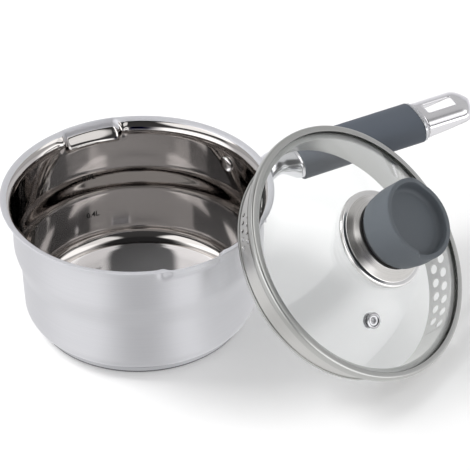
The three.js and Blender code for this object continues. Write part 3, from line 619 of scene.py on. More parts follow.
# Handle tube.
# An oval steel tube with a rounded tip. Near the tip it has a slot to hang it by, and underneath it
# is cut away on a slant, so light comes through the slot.
handle_len = 158.2
tip_round = 9.0
tip_drop = 2.4
slot_len = 21.0
slot_w = 10.8
slot_corner = 1.6
slot_to_tip = 10.5
scoop_len = 36.0
scoop_start = -4.0
scoop_tip = 1.0
slot_far = handle_len - slot_to_tip
slot_near = slot_far - slot_len
scoop_front = handle_len - scoop_len
slot_share = 0.36
tube_steps = 96
handle_crease = 50.0


def sheet_lines():
    """Shares across the open channel from its left lower edge (-1) over the top to its right edge (1),
    with a line on each side of the slot."""
    side = np.linspace(-1.0, -slot_share, 22)
    top = np.linspace(-slot_share, slot_share, 17)
    return np.concatenate([side[:-1], top, -side[::-1][1:]])


def slot_edges(x):
    """Half-width of the slot at x, with rounded corners."""
    inside = np.minimum(x - slot_near, slot_far - x)
    d = np.clip(slot_corner - inside, 0.0, slot_corner)
    return slot_w / 2 - (slot_corner - np.sqrt(np.maximum(slot_corner**2 - d**2, 0.0)))


def channel(xs):
    """Sheet of the tube's end: at each x the oval from the slanted lower edge on one side to the other.
    The two lines beside the slot follow its rounded outline; towards the tip all widths follow the
    rounded end in plan, and the top bends down by tip_drop times the square of the way into it."""
    v = sheet_lines()
    w, h = tube_w / 2, tube_h / 2
    low = scoop_start + (scoop_tip - scoop_start) * (xs - scoop_front) / scoop_len
    low_angle = np.arcsin(np.clip(np.sign(low) * (np.abs(low) / h) ** (oval_power / 2), -1, 1))
    slot_half = slot_edges(np.clip(xs, slot_near, slot_far))
    slot_angle = np.arcsin((slot_half / w) ** (oval_power / 2))
    share = np.abs(v)[None, :]
    upper = share / slot_share * slot_angle[:, None]
    beyond = (share - slot_share) / (1 - slot_share)
    lower = slot_angle[:, None] + beyond * (np.pi / 2 - low_angle - slot_angle)[:, None]
    from_top = np.where(share <= slot_share, upper, lower)
    y, z = oval(np.pi / 2 - np.sign(v)[None, :] * from_top, w, h)
    end = np.clip((xs - handle_len + tip_round) / tip_round, 0.0, 1.0)[:, None]
    squeeze = np.sqrt(np.maximum(1 - end**2, 0.0004))
    z = z - tip_drop * end**2 * np.clip(z / h, 0.0, 1.0)
    return spread(xs[:, None], y * squeeze, z)


body_x = np.linspace(tube_start, scoop_front, 30)
a = np.linspace(-1.5 * np.pi, 0.5 * np.pi, tube_steps, endpoint=False)
tube_body = spread(body_x[:, None], *oval(a, tube_w / 2, tube_h / 2))
slot_curve = slot_corner * (1 - np.cos(np.linspace(0, np.pi / 2, 7)))
xs = np.concatenate([
    np.linspace(scoop_front, slot_near, 5)[:-1],
    slot_near + slot_curve,
    np.linspace(slot_near + slot_corner, slot_far - slot_corner, 14)[1:-1],
    (slot_far - slot_curve)[::-1],
    handle_len - tip_round + tip_round * np.sin(np.linspace(0.0, np.pi / 2, 18)),
])
xs = np.unique(np.round(xs, 6))
tube_end = channel(xs)
end_rows, end_columns = tube_end.shape[:2]
middle = (sheet_lines()[:-1] + sheet_lines()[1:]) / 2
row_middle = (xs[:-1] + xs[1:]) / 2
beside_slot = (row_middle > slot_near) & (row_middle < slot_far)
in_slot = (np.abs(middle)[None, :] < slot_share) & beside_slot[:, None]
end_faces = grid_faces(end_rows, end_columns, False, False).reshape(end_rows - 1, end_columns - 1, 4)
end_faces = end_faces[~in_slot][:, ::-1] + len(body_x) * len(a)
body_faces = grid_faces(len(body_x), len(a), False, True)
points = np.concatenate([tube_body.reshape(-1, 3), tube_end.reshape(-1, 3)])
faces = np.concatenate([body_faces, end_faces]).tolist()
handle_tube = put_piece("handle_tube_slotted", at_handle(points), faces, handle_crease)
tube_sheet = handle_tube.modifiers.new("wall", "SOLIDIFY")
tube_sheet.thickness = tube_t * MM
tube_sheet.offset = -1.0
coat(handle_tube, steel_finish(
    "tube_polished_steel", (0.72, 0.71, 0.735), (0.82, 0.81, 0.83), 0.12, 0.22, (40, 900, 900), 2.0
))
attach(handle_tube, "pot")
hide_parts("handle_tube")

# Handle sleeve and its ring.
# A moulded silicone sleeve drawn over the tube, matt slate grey, with rounded ends and a soft edge
# along each side; a thin steel ring closes it at the rear.
sleeve_t = 1.2
sleeve_start = 31.5
sleeve_len = 87.2
sleeve_round = 1.0
sleeve_steps = 128
trim_len = 1.6
trim_t = 0.8
trim_round = 0.5
trim_start = sleeve_start + sleeve_len + joint_gap
bore_w = tube_w / 2 + joint_gap
bore_h = tube_h / 2 + joint_gap


def oval_ring(name, start, length, thick, radius):
    """Rounded rectangle (length along the handle, thickness outside the bore) carried round the oval."""
    end = start + length
    outline = rounded([(start, 0, 0.1), (end, 0, 0.1), (end, thick, radius), (start, thick, radius)], 8)
    along, out = outline[:, :1], outline[:, 1:]
    points = spread(along, *oval(around(sleeve_steps), bore_w + out, bore_h + out))
    faces = grid_faces(*points.shape[:2], True, True)[:, ::-1].tolist()
    return put_piece(name, at_handle(points), faces, handle_crease)


grip = oval_ring("handle_sleeve_moulded", sleeve_start, sleeve_len, sleeve_t, sleeve_round)
trim_ring = oval_ring("handle_ring_turned", trim_start, trim_len, trim_t, trim_round)

# Matt moulded silicone: a fine even grain, with slow patches where hands rub it smoother.
moulded, given = effect("moulded_silicone")
fine_grain = noise(moulded, given["Vector"], 2600.0, 2.0)
rubbed = noise(moulded, given["Vector"], 38.0, 3.0)
end_effect(moulded, given, fine_grain, rubbed)


def silicone_finish(name, dark, light, low, high, depth):
    """Matt silicone: colour and roughness follow the rubbed patches, the relief the fine grain."""
    finish, tree, shader = new_finish(name)
    where = tree.nodes.new("ShaderNodeTexCoord").outputs["Object"]
    dress(tree, shader, moulded, where, dark, light, low, high, depth)
    shader.inputs["Specular IOR Level"].default_value = 0.4
    return finish


coat(grip, silicone_finish("sleeve_silicone", (0.07, 0.082, 0.1), (0.085, 0.098, 0.12), 0.5, 0.68, 10.0))
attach(grip, "pot")
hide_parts("handle_sleeve")
coat(trim_ring, steel_finish("trim_steel", (0.55, 0.56, 0.58), (0.66, 0.67, 0.69), 0.2, 0.35, 500, 2.0))
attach(trim_ring, "pot")
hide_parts("handle_trim_ring")

# Lid rim.
# One ring of satin steel, rolled over the edge of the glass and drawn down as a skirt. Its edge is a
# rounded bead; its turned-in edge on the glass is painted dark, painted shade for the shadowed gap there.
turn_joint = [joint for joint in frame["joints"] if joint["name"] == "knob_turn"][0]
lid_centre = np.array(turn_joint["pos_m"]) / MM
lid_axis = np.array(turn_joint["axis"]) / np.linalg.norm(turn_joint["axis"])
lid_x = np.array([-lid_axis[1], lid_axis[0], 0.0]) / np.hypot(lid_axis[0], lid_axis[1])
lid_y = np.cross(lid_axis, lid_x)
lid_frame = (tuple(lid_centre * MM), (np.arccos(lid_axis[2]), 0.0, np.arctan2(lid_x[1], lid_x[0])))
rim_t = 0.8
rim_steps = 256
lid_crease = 40.0
bead_r = lip_r - 2.0
cover_r = bead_r - 4.6
skirt_r = wall_inner_r - 2.3
skirt_in = skirt_r - rim_t
glass_t = 4.0
seat = glass_t / 2 + joint_gap
skirt_top = -seat - rim_t
dark_rows = (29, 44)


def at_lid(points):
    """Places points of the lid's own frame: its axis goes up through the knob, its X is level."""
    points = np.asarray(points, float).reshape(-1, 3)
    return lid_centre + points[:, :1] * lid_x + points[:, 1:2] * lid_y + points[:, 2:] * lid_axis


def lid_piece(name, outline, steps, closed=True):
    """Piece turned from an outline (radius, height) about the lid's axis."""
    points, faces = turned(outline, steps, closed)
    return put_piece(name, at_lid(points), faces, lid_crease)


bead_outline = rounded([
    (skirt_in, skirt_top, 0.2),
    (bead_r, skirt_top, 2.4),
    (bead_r, seat + rim_t, 2.4),
    (cover_r, seat + rim_t, 0.35),
    (cover_r, seat, 0.35),
    (bead_r - rim_t, seat, 1.6),
    (bead_r - rim_t, -seat, 1.6),
    (skirt_in, -seat, 0.2),
], 9)
rim_bead = lid_piece("lid_rim_rolled", bead_outline, rim_steps)
rim_steel = steel_finish(
    "rim_satin_steel", (0.42, 0.422, 0.41), (0.525, 0.527, 0.51), 0.24, 0.36, (30, 30, 1600), 2.0, *lid_frame
)
# Painted shade: the turned-in edge of the rim gets near-black steel for the shadow in the gap at the glass.
edge_painted_shade = steel_finish("rim_edge_painted_shade", (0.05, 0.052, 0.05), (0.09, 0.092, 0.09), 0.3, 0.45, 300, 2.0)
coat(rim_bead, rim_steel, edge_painted_shade)
bead_row = np.repeat(np.arange(len(bead_outline)), rim_steps)
shaded_edge_faces = (bead_row >= dark_rows[0]) & (bead_row < dark_rows[1])
rim_bead.data.polygons.foreach_set("material_index", shaded_edge_faces.astype(np.int32))
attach(rim_bead, "lid")
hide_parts("lid_rim")

# Strainer skirt.
# The lower part of the same ring: a plain cylinder with two rows of coarse round holes on one side,
# two rows of fine ones opposite, punched through the sheet, and a hem rolled outwards at its foot.
skirt_depth = 22.3
hem_r = skirt_r + 0.6
hem_h = 1.7
hem_top = -skirt_depth + hem_h
coarse_r = 3.0
coarse_step = 7.0
coarse_middle = -47.8
fine_r = 1.2
fine_step = 4.25
fine_middle = coarse_middle + 180.0
hole_row_z = -8.3
hole_row_pitch = 7.5
line_pitch = hole_row_pitch / 16
first_line = hole_row_z + hole_row_pitch / 2
skirt_lines = first_line - line_pitch * np.arange(34)
above = np.linspace(skirt_top + 0.4, first_line, 4)[:-1]
below = np.linspace(skirt_lines[-1], hem_top, 3)[1:]
all_lines = np.concatenate([above, skirt_lines, below])
patches = []


def plain_band(angle0, angle1, columns, heights):
    """Adds a grid of (angle, height) points between two angles."""
    grid = spread(np.linspace(angle0, angle1, columns + 1)[:, None], heights).reshape(-1, 2)
    patches.append((grid, grid_faces(columns + 1, len(heights), False, False)))


def pierced_cell(angle0, angle1, columns, k0, k1, hole_r):
    """Adds a cell with a round hole: rings of points pass from the cell's square edge to the circle."""
    rows = k1 - k0
    bottom = spread(np.linspace(0, 1, columns, endpoint=False), 0)
    right = spread(1, np.linspace(0, 1, rows, endpoint=False))
    edge = np.concatenate([bottom, right, 1 - bottom, 1 - right])
    top, low = skirt_lines[k0], skirt_lines[k1]
    middle = np.array([(angle0 + angle1) / 2, (top + low) / 2])
    square = spread(angle0 + edge[:, 0] * (angle1 - angle0), low + edge[:, 1] * (top - low))
    to_mm = np.array([np.radians(1.0) * skirt_r, 1.0])
    away = (square - middle) * to_mm
    circle = middle + away / np.linalg.norm(away, axis=1, keepdims=True) * hole_r / to_mm
    share = np.array([0.0, 0.35, 0.7, 1.0])[:, None, None]
    rings = square[None] * (1 - share) + circle[None] * share
    patches.append((rings.reshape(-1, 2), grid_faces(4, len(square), False, True)))


def hole_field(middle, step, columns, hole_r, rows):
    """Adds rows of pierced cells, each (count, first line, last line), with plain ends where a row is
    shorter and plain bands above and below. Gives half the width of the field in degrees."""
    widest = max(count for count, k0, k1 in rows)
    half = step * widest / 2
    for count, k0, k1 in rows:
        start, end = middle - step * count / 2, middle + step * count / 2
        for i in range(count):
            pierced_cell(start + i * step, start + (i + 1) * step, columns, k0, k1, hole_r)
        if count < widest:
            plain_band(middle - half, start, columns // 2, skirt_lines[k0 : k1 + 1])
            plain_band(end, middle + half, columns // 2, skirt_lines[k0 : k1 + 1])
    top, low = len(above) + rows[0][1], len(above) + rows[-1][2]
    for heights in (all_lines[: top + 1], all_lines[low:]):
        plain_band(middle - half, middle + half, columns * widest, heights)
    return half


coarse_half = hole_field(coarse_middle, coarse_step, 16, coarse_r, ((7, 0, 16), (6, 16, 32)))
fine_half = hole_field(fine_middle, fine_step, 8, fine_r, ((4, 13, 23), (5, 23, 33)))
plain_band(coarse_middle + coarse_half, fine_middle - fine_half, 144, all_lines)
plain_band(fine_middle + fine_half, coarse_middle + 360.0 - coarse_half, 144, all_lines)
flat = np.concatenate([grid for grid, quads in patches])
starts = np.cumsum([0] + [len(grid) for grid, quads in patches])
faces = np.concatenate([quads + start for (grid, quads), start in zip(patches, starts)])
key = np.round(spread(np.mod(flat[:, 0] + 0.0005, 360.0), flat[:, 1]), 3)
key, first, same = np.unique(key, axis=0, return_index=True, return_inverse=True)
flat, faces = flat[first], same.reshape(-1)[faces]
a = np.radians(flat[:, 0])
points = spread(skirt_r * np.cos(a), skirt_r * np.sin(a), flat[:, 1])
corner = points[faces]
normal = np.cross(corner[:, 1] - corner[:, 0], corner[:, 2] - corner[:, 0])
inward = (normal[:, :2] * corner.mean(1)[:, :2]).sum(1) < 0
faces[inward] = faces[inward][:, ::-1]
skirt = put_piece("lid_skirt_pierced", at_lid(points), faces.tolist(), lid_crease)
skirt_sheet = skirt.modifiers.new("sheet", "SOLIDIFY")
skirt_sheet.thickness = rim_t * MM
skirt_sheet.offset = -1.0
# Painted light and shade: the outer face takes a lighter copy of the rim steel, the inner face keeps the
# darker rim steel.
skirt_sheet.material_offset = 1
skirt_outside_lit = steel_finish(
    "skirt_outer_painted_light", (0.52, 0.515, 0.5), (0.63, 0.625, 0.61), 0.24, 0.36, (30, 30, 1600), 2.0, *lid_frame
)
coat(skirt, skirt_outside_lit, rim_steel)
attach(skirt, "lid")
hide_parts("lid_rim")

hem_lap = hem_top + 0.1
hem_outline = rounded([
    (skirt_in, -skirt_depth, 0.4),
    (hem_r, -skirt_depth, 0.5),
    (hem_r, hem_lap, 0.7),
    (skirt_r - 0.1, hem_lap, 0.2),
    (skirt_in, hem_lap, 0.2),
])
hem = lid_piece("lid_hem_rolled", hem_outline, rim_steps)
coat(hem, rim_steel)
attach(hem, "lid")
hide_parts("lid_rim")

# Lid glass.
# A pressed dome of clear tempered glass, even in thickness, with a flat edge inside the rolled rim
# and a round hole in the middle for the knob's screw.
dome_h = 22.3
glass_r = bead_r - rim_t - joint_gap
glass_edge = 0.6
glass_steps = 224
dome_r = cover_r - 2 * joint_gap
ease_r = dome_r - 2.0
ease_len = 4.0
screw_room = 3.5
half_t = glass_t / 2


def dome_top(r):
    """Upper face of the glass: a parabola inside the rim and flat under it."""
    return half_t + dome_h * np.maximum(0.0, 1 - (r / dome_r) ** 2)


r = np.linspace(screw_room, ease_r, 40)
u = np.linspace(0.0, 1.0, 9)[1:]
eased = half_t + (dome_top(ease_r) - half_t) * (1 - u) ** 2
upper = np.concatenate([spread(r, dome_top(r)), spread(ease_r + ease_len * u, eased)])
lower = upper - np.array([0.0, glass_t])
edge = [
    (glass_r - glass_edge, -half_t),
    (glass_r, glass_edge - half_t),
    (glass_r, half_t - glass_edge),
    (glass_r - glass_edge, half_t),
]
lid_glass = lid_piece("lid_glass_pressed", np.concatenate([lower, edge, upper[::-1]]), glass_steps)
clear_glass, tree, shader = new_finish("clear_glass")
shader.inputs["Base Color"].default_value = (0.985, 0.995, 0.992, 1.0)
shader.inputs["Transmission Weight"].default_value = 1.0
shader.inputs["IOR"].default_value = 1.5
smears = noise(tree, stretched(tree, 60), 1.0, 3.0)
tree.links.new(maths(tree, "MULTIPLY", smears, 0.02), shader.inputs["Roughness"])
passing = add_node(tree, "ShaderNodeBsdfTransparent", {"Color": (0.83, 0.84, 0.84, 1.0)})
ray = tree.nodes.new("ShaderNodeLightPath").outputs
both = {"Fac": ray["Is Shadow Ray"], 1: shader.outputs["BSDF"], 2: passing.outputs["BSDF"]}
let_through = add_node(tree, "ShaderNodeMixShader", both)
tree.links.new(let_through.outputs["Shader"], tree.nodes["Material Output"].inputs["Surface"])
coat(lid_glass, clear_glass)
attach(lid_glass, "lid")
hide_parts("lid_glass")

# Steam vent.
# A polished steel eyelet through the glass, square to the dome. Its foot is spread over a thin flat
# ring underneath, which holds it.
vent_radius = 52.8
vent_angle = np.radians(-138.0)
vent_r = 3.4
vent_bore = 1.4
vent_flange = 5.2
vent_flange_t = 1.0
vent_ring_t = 0.9
vent_foot_t = 0.6
vent_steps = 64
vent_tilt = np.arctan(2 * dome_h * vent_radius / dome_r**2)


def vent_piece(name, outline):
    """Piece turned about the vent's axis, which is square to the dome where the vent goes through it."""
    points, faces = turned(outline, vent_steps, True)
    x, y, z = points.T
    c, s = np.cos(vent_tilt), np.sin(vent_tilt)
    x, z = x * c + z * s + vent_radius, z * c - x * s + dome_top(vent_radius)
    c, s = np.cos(vent_angle), np.sin(vent_angle)
    return put_piece(name, at_lid(spread(x * c - y * s, x * s + y * c, z)), faces, lid_crease)


def flat_ring(inner, outer, low, high, inner_round, outer_round, steps=5):
    """Outline of a flat ring with rounded edges."""
    low_side = [(inner, low, inner_round), (outer, low, outer_round)]
    return rounded(low_side + [(outer, high, outer_round), (inner, high, inner_round)], steps)


ring_top = -glass_t - joint_gap
ring_low = ring_top - vent_ring_t
vent_clinch = ring_low - joint_gap
vent_foot = vent_clinch - vent_foot_t
eyelet_outline = rounded([
    (vent_bore, vent_foot, 0.4),
    (vent_flange - 0.8, vent_foot, 0.3),
    (vent_flange - 0.8, vent_clinch, 0.25),
    (vent_r, vent_clinch, 0.1),
    (vent_r, joint_gap, 0.1),
    (vent_flange, joint_gap, 0.2),
    (vent_flange, joint_gap + vent_flange_t * 0.7, 0.5),
    (vent_flange - 1.2, joint_gap + vent_flange_t, 0.6),
    (vent_flange - 2.1, joint_gap + 0.3, 0.3),
    (vent_bore + 0.9, joint_gap + 0.3, 0.3),
    (vent_bore + 0.5, joint_gap + vent_flange_t * 0.9, 0.3),
    (vent_bore, joint_gap + vent_flange_t * 0.6, 0.2),
], 7)
vent_steel = steel_finish("vent_polished_steel", (0.4, 0.4, 0.41), (0.52, 0.52, 0.53), 0.08, 0.16, 400, 2.0)
ring_outline = flat_ring(vent_r + joint_gap, vent_flange, ring_low, ring_top, 0.2, 0.3)
for solid, name, outline in (
    ("steam_vent", "steam_vent_eyelet", eyelet_outline),
    ("vent_ring", "vent_ring_flat", ring_outline),
):
    piece = vent_piece(name, outline)
    coat(piece, vent_steel)
    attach(piece, "lid")
    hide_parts(solid)

# Knob base.
# A thin dark gasket on the glass, and on it a bell spun from steel sheet: a polished rounded flange
# and a cone brushed in rings. A dark collar separates it from the cap.
bell_r = 32.8
bell_h = 9.6
bell_top_r = 23.5
bell_t = 1.0
bell_steps = 160
bead_h = 3.4
flange_rows = 28
gasket_t = 0.6
gasket_in = 28.0
gasket_out = 31.0
moulded_steps = 128
collar_r = 21.8
collar_h = 4.7
gasket_top = dome_top(gasket_in) + joint_gap + gasket_t
gasket_outline = rounded([
    (gasket_in, dome_top(gasket_in) + joint_gap, 0.15),
    (gasket_out, dome_top(gasket_out) + joint_gap, 0.3),
    (gasket_out, gasket_top, 0.3),
    (gasket_in, gasket_top, 0.15),
], 5)
gasket = lid_piece("knob_gasket_moulded", gasket_outline, moulded_steps)
coat(gasket, silicone_finish("gasket_rubber", (0.012, 0.012, 0.013), (0.02, 0.02, 0.022), 0.5, 0.7, 8.0))
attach(gasket, "lid")
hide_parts("knob_gasket")

bell_z = gasket_top + joint_gap
bell_top = bell_z + bell_h
cone_z = bell_z + bead_h
cone_foot = bell_r - bead_h
waist_r = cone_foot - (cone_foot - bell_top_r) * 0.55
waist_z = cone_z + (bell_h - bead_h) * 0.5
bell_outline = rounded([
    (cone_foot - bell_t, bell_z, 0.3),
    (bell_r, bell_z, 1.2),
    (bell_r, cone_z, 1.4),
    (cone_foot, cone_z, 1.0),
    (waist_r, waist_z, 14.0),
    (bell_top_r, bell_top, 0.9),
    (screw_room, bell_top, 0.2),
    (screw_room, bell_top - bell_t, 0.2),
    (bell_top_r - bell_t, bell_top - bell_t, 0.6),
    (waist_r - bell_t, waist_z - 0.4, 12.0),
    (cone_foot - bell_t, cone_z, 0.6),
], 8)
bell = lid_piece("knob_bell_spun", bell_outline, bell_steps)


def spun_lines(tree, fineness):
    """Vector whose noise gives rings about the lid's axis: distance from the axis and height, stretched."""
    local = stretched(tree, 1, *lid_frame)
    x, y, z = add_node(tree, "ShaderNodeSeparateXYZ", {"Vector": local}).outputs
    square = maths(tree, "ADD", maths(tree, "MULTIPLY", x, x), maths(tree, "MULTIPLY", y, y))
    ring = maths(tree, "MULTIPLY", maths(tree, "SQRT", square), fineness)
    rings = add_node(tree, "ShaderNodeCombineXYZ", {"X": ring, "Y": maths(tree, "MULTIPLY", z, fineness)})
    return rings.outputs["Vector"]


bell_steel, tree, shader = new_finish("bell_spun_steel")
spun = spun_lines(tree, 2600.0)
dress(tree, shader, brushed, spun, (0.54, 0.525, 0.51), (0.72, 0.705, 0.685), 0.2, 0.36, 4.0)
shader.inputs["Metallic"].default_value = 1.0
flange_steel = steel_finish("bell_flange_steel", (0.8, 0.79, 0.78), (0.88, 0.87, 0.86), 0.1, 0.18, 300, 1.0)
coat(bell, bell_steel, flange_steel)
bell_row = np.repeat(np.arange(len(bell_outline)), bell_steps)
bell.data.polygons.foreach_set("material_index", (bell_row < flange_rows).astype(np.int32))
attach(bell, "lid")
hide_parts("knob_bell")

collar_z = bell_top + joint_gap
collar_top = collar_z + collar_h
collar_outline = flat_ring(screw_room, collar_r, collar_z, collar_top, 0.2, 0.6, 6)
collar = lid_piece("knob_collar_moulded", collar_outline, moulded_steps)
coat(collar, silicone_finish("collar_plastic", (0.01, 0.01, 0.011), (0.016, 0.016, 0.018), 0.35, 0.5, 6.0))
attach(collar, "lid")
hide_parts("knob_collar")

# Knob cap.
# A thick moulded silicone cap over a threaded core. Its top is a shallow dish, and half of its rim
# stands higher than the other half, so a spoon can rest across it.
cap_r = 26.8
cap_bottom_r = 25.0
cap_h = 23.4
cap_rim = 3.2
high_rim = 3.0
high_middle = np.radians(130.0)
slow_turn = 0.55
quick_turn = 0.14
lift_power = 1.4
knob_steps = 192
knob_crease = 50.0
dish_depth = 6.7
core_r = 17.5
core_h = 9.0
cap_z = collar_top + joint_gap
cap_top = cap_z + cap_h
core_room = cap_z + core_h + joint_gap
dish_r = cap_r - cap_rim
dish_z = cap_top - dish_depth
cap_outline = rounded([
    (0, core_room, 0),
    (core_r + joint_gap, core_room, 0.5),
    (core_r + joint_gap, cap_z, 0.5),
    (cap_bottom_r, cap_z, 1.2),
    (cap_r, cap_z + cap_h * 0.45, 24.0),
    (cap_r, cap_top, 0.9),
    (dish_r, cap_top, 0.8),
    (dish_r - 1.0, dish_z, 3.4),
    (0, dish_z, 0),
], 12, False)


def raise_rim(points):
    """Lifts one half of the rim: the lift grows from the dish floor to the top, and passes smoothly
    on one side and in a shorter step on the other."""
    a = np.arctan2(points[:, 1], points[:, 0]) - high_middle
    a = np.mod(a + np.pi, 2 * np.pi) - np.pi
    slow = smooth((np.pi / 2 + a) / slow_turn + 0.5)
    quick = smooth((np.pi / 2 - a) / quick_turn + 0.5)
    climb = np.clip((points[:, 2] - dish_z) / dish_depth, 0.0, 1.0)
    lift = high_rim * slow * quick * climb**lift_power
    return points + spread(0.0, 0.0, lift)


points, faces = turned(cap_outline, knob_steps, False)
knob_cap = put_piece("knob_cap_moulded", at_lid(raise_rim(points)), faces, knob_crease)
coat(knob_cap, silicone_finish("cap_silicone", (0.092, 0.104, 0.117), (0.11, 0.124, 0.138), 0.5, 0.66, 10.0))
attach(knob_cap, "knob")
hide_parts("knob_cap")

knob_core = frame["nodes"]["knob_core"]
knob_core.data.materials.clear()
coat(knob_core, silicone_finish("core_plastic", (0.025, 0.025, 0.028), (0.035, 0.035, 0.038), 0.4, 0.6, 6.0))

# Knob screw, washer and seal.
# Under the glass a pan-head screw draws the knob down, with a steel washer and a pale silicone seal
# between its head and the glass.
screw_r = 3.0
screw_head_r = 6.5
screw_head_h = 2.6
screw_engage = 6.5
washer_r = 9.0
washer_t = 0.9
seal_r = 10.0
seal_t = 1.1
seal_steps = 96
screw_steps = 64
seal_top = dome_top(seal_r) - glass_t - joint_gap
seal_low = seal_top - seal_t
washer_top = seal_low - joint_gap
washer_low = washer_top - washer_t
screw_seat = washer_low - joint_gap
screw_tip = cap_z + screw_engage
screw_steel = steel_finish("screw_steel", (0.6, 0.6, 0.61), (0.72, 0.72, 0.73), 0.12, 0.25, 500, 2.0)
seal_pale = silicone_finish("seal_silicone", (0.52, 0.51, 0.49), (0.6, 0.59, 0.57), 0.5, 0.65, 8.0)
seal_outline = flat_ring(screw_room, seal_r, seal_low, seal_top, 0.2, 0.4)
washer_outline = flat_ring(screw_r + joint_gap, washer_r, washer_low, washer_top, 0.15, 0.3)
for solid, name, slot, outline, finish in (
    ("knob_seal", "knob_seal_moulded", "seal_silicone", seal_outline, seal_pale),
    ("knob_washer", "knob_washer_flat", "screw_steel", washer_outline, screw_steel),
):
    piece = lid_piece(name, outline, seal_steps)
    coat(piece, finish)
    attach(piece, "lid")
    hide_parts(solid)
screw_outline = rounded([
    (0, screw_seat - screw_head_h, 0),
    (screw_head_r, screw_seat - screw_head_h, 2.2),
    (screw_head_r, screw_seat, 0.3),
    (screw_r, screw_seat, 0.2),
    (screw_r, screw_tip, 0.5),
    (0, screw_tip, 0),
], 7, False)
screw = lid_piece("knob_screw_turned", screw_outline, screw_steps, False)
coat(screw, screw_steel)
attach(screw, "lid")
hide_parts("knob_screw")

# Table.
# A plain white sweep of card, flat under the pot. A share of its own light keeps it white where it is
# seen, and brighter in the steel, where its front, below the camera, is painted a little dimmer: painted
# shade seen only in reflections.
floor_half = 4.0
own_light = 0.22
steel_light = 4.3
front_way = (-0.41, -0.912, 0.0)
front_start = 0.86
front_full = 0.99
front_painted_dim = 0.19
corners = [(x * floor_half, y * floor_half, 0.0) for x, y in ((-1, -1), (1, -1), (1, 1), (-1, 1))]
floor_mesh = bpy.data.meshes.new("table_top")
floor_mesh.from_pydata(corners, [], [(0, 1, 2, 3)])
table = bpy.data.objects.new("table_top", floor_mesh)
bpy.context.scene.collection.objects.link(table)


def facing(tree, vector, way, start, full, most=1.0):
    """Smooth step from 0 to most as the direction vector turns towards a way, by their dot product."""
    dot = add_node(tree, "ShaderNodeVectorMath", {0: vector, 1: way}, operation="DOT_PRODUCT")
    inputs = {"Value": dot.outputs["Value"], "From Min": start, "From Max": full, "To Max": most}
    return add_node(tree, "ShaderNodeMapRange", inputs, interpolation_type="SMOOTHSTEP").outputs["Result"]


white_table, tree, shader = new_finish("white_table")
shader.inputs["Base Color"].default_value = (0.97, 0.968, 0.965, 1.0)
shader.inputs["Roughness"].default_value = 0.9
shader.inputs["Specular IOR Level"].default_value = 0.0
where = tree.nodes.new("ShaderNodeTexCoord").outputs["Object"]
bearing = add_node(tree, "ShaderNodeVectorMath", {0: where}, operation="NORMALIZE").outputs["Vector"]
# Painted shade: a wedge of the table in front of the pot glows less, only in reflections.
shade = facing(tree, bearing, front_way, front_start, front_full, front_painted_dim)
ray = tree.nodes.new("ShaderNodeLightPath").outputs
straight = maths(tree, "SUBTRACT", 1.0, ray["Is Transmission Ray"])
mirrored = maths(tree, "MULTIPLY", ray["Is Glossy Ray"], straight)
strength = maths(tree, "SUBTRACT", 1.0, maths(tree, "MULTIPLY", shade, mirrored))
glow = add_node(tree, "ShaderNodeEmission", {"Strength": strength})
seen = maths(tree, "MAXIMUM", ray["Is Camera Ray"], ray["Is Transmission Ray"])
seen = maths(tree, "MAXIMUM", seen, maths(tree, "MULTIPLY", mirrored, steel_light))
share = maths(tree, "MULTIPLY", seen, own_light)
both = {"Fac": share, 1: shader.outputs["BSDF"], 2: glow.outputs["Emission"]}
lit = add_node(tree, "ShaderNodeMixShader", both)
tree.links.new(lit.outputs["Shader"], tree.nodes["Material Output"].inputs["Surface"])
coat(table, white_table)

# Studio light.
# A pale wall all round at table height, dark above it and overhead. The far side is pale higher up, a
# white card hangs high at each side, and low ones stand left and right of a dimmer gap in front. One
# soft box behind the pot on the left casts the shadow and isn't seen in the steel.
wall_tones = (
    (0.0, (0.9, 0.9, 0.93)),
    (0.3, (0.78, 0.78, 0.8)),
    (0.46, (0.07, 0.07, 0.072)),
    (0.88, (0.06, 0.06, 0.06)),
    (0.95, (0.03, 0.03, 0.031)),
)
far_heights = ((0.36, 0.0), (0.46, 1.0), (0.93, 1.0), (0.965, 0.0))
side_heights = ((0.622, 0.0), (0.636, 1.0), (0.9, 1.0), (0.94, 0.0))
low_heights = ((0.0, 0.6), (0.1, 1.0), (0.36, 1.0), (0.5, 0.0))
cards = (
    (0.55, far_heights, (0.5, 0.866, 0.0), -0.2, -0.06),
    (1.6, side_heights, (-0.648, 0.057, 0.76), 0.875, 0.93),
    (1.25, side_heights, (0.46, -0.46, 0.76), 0.875, 0.93),
    (1.6, low_heights, (-0.966, -0.259, 0.0), 0.72, 0.9),
    (1.5, low_heights, (0.5, -0.866, 0.0), 0.72, 0.9),
    (-0.75, low_heights, (-0.423, -0.906, 0.0), 0.86, 0.96),
)
lamp_place = Vector((-0.95, 0.66, 1.38))
lamp_target = Vector((0.05, -0.05, 0.05))
lamp_size = 0.8
lamp_watts = 21.0
world = bpy.data.worlds.new("studio_room")
bpy.context.scene.world = world
world.use_nodes = True
tree = world.node_tree
tree.nodes.clear()
way = tree.nodes.new("ShaderNodeTexCoord").outputs["Generated"]
height = add_node(tree, "ShaderNodeSeparateXYZ", {"Vector": way}).outputs["Z"]


def by_height(stops):
    """Colour ramp over the height of a direction; each stop is a place and a colour."""
    ramp = add_node(tree, "ShaderNodeValToRGB", {"Fac": height})
    for place, colour in stops[2:]:
        ramp.color_ramp.elements.new(place)
    for element, (place, colour) in zip(ramp.color_ramp.elements, stops):
        element.position = place
        element.color = (*colour, 1.0)
    return ramp.outputs["Color"]


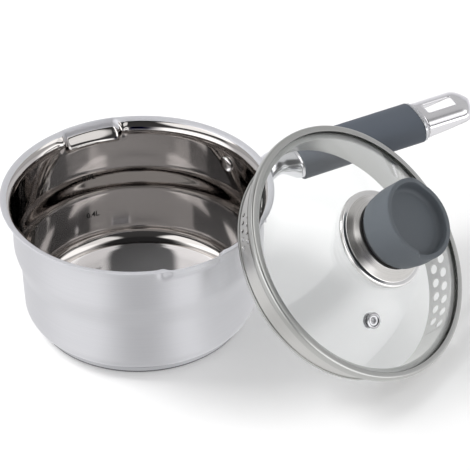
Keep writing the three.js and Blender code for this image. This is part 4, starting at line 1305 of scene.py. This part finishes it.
light = 0.0
for power, heights, towards, edge, full in cards:
    band = by_height([(place, (value, value, value)) for place, value in heights])
    card = maths(tree, "MULTIPLY", facing(tree, way, towards, edge, full), band)
    light = maths(tree, "ADD", light, maths(tree, "MULTIPLY", card, power))
parts = {"Factor": 1.0, "A": by_height(wall_tones), "B": light}
room = add_node(tree, "ShaderNodeMix", parts, data_type="RGBA", blend_type="ADD").outputs["Result"]
sky = add_node(tree, "ShaderNodeBackground", {"Color": room, "Strength": 1.0})
add_node(tree, "ShaderNodeOutputWorld", {"Surface": sky.outputs["Background"]})
lamp = bpy.data.lights.new("box_left", "AREA")
lamp.shape = "SQUARE"
lamp.size = lamp_size
lamp.energy = lamp_watts
soft_box = bpy.data.objects.new("box_left", lamp)
soft_box.location = lamp_place
soft_box.rotation_euler = (lamp_target - lamp_place).to_track_quat("-Z", "Y").to_euler()
soft_box.visible_glossy = False
bpy.context.scene.collection.objects.link(soft_box)

# Camera.
# A long lens from the front left, looking down at the pot, as in the photograph. Its place was fitted
# to the outlines of the lip, the base, the handle and the lid.
picture = 470
focal_pixels = 3866.8
sensor = 36.0
aim = Vector((0.05705, -0.02474, 0.05824))
distance = 2.5
elevation = np.radians(35.752)
azimuth = np.radians(65.775)
roll = np.radians(-1.2)
onward = np.array([np.cos(azimuth), np.sin(azimuth), 0.0])
ahead = onward * np.cos(elevation) - np.array([0.0, 0.0, np.sin(elevation)])
level = np.array([np.sin(azimuth), -np.cos(azimuth), 0.0])
upward = np.cross(level, ahead)
right = level * np.cos(roll) + upward * np.sin(roll)
top = upward * np.cos(roll) - level * np.sin(roll)
lens = bpy.data.cameras.new("camera")
lens.sensor_width = sensor
lens.lens = focal_pixels / picture * sensor
camera = bpy.data.objects.new("camera", lens)
turn = Matrix((right, top, -ahead)).transposed().to_4x4()
camera.matrix_world = Matrix.Translation(aim - distance * Vector(ahead)) @ turn
bpy.context.scene.collection.objects.link(camera)
bpy.context.scene.camera = camera
bpy.context.scene.view_settings.view_transform = "Standard"
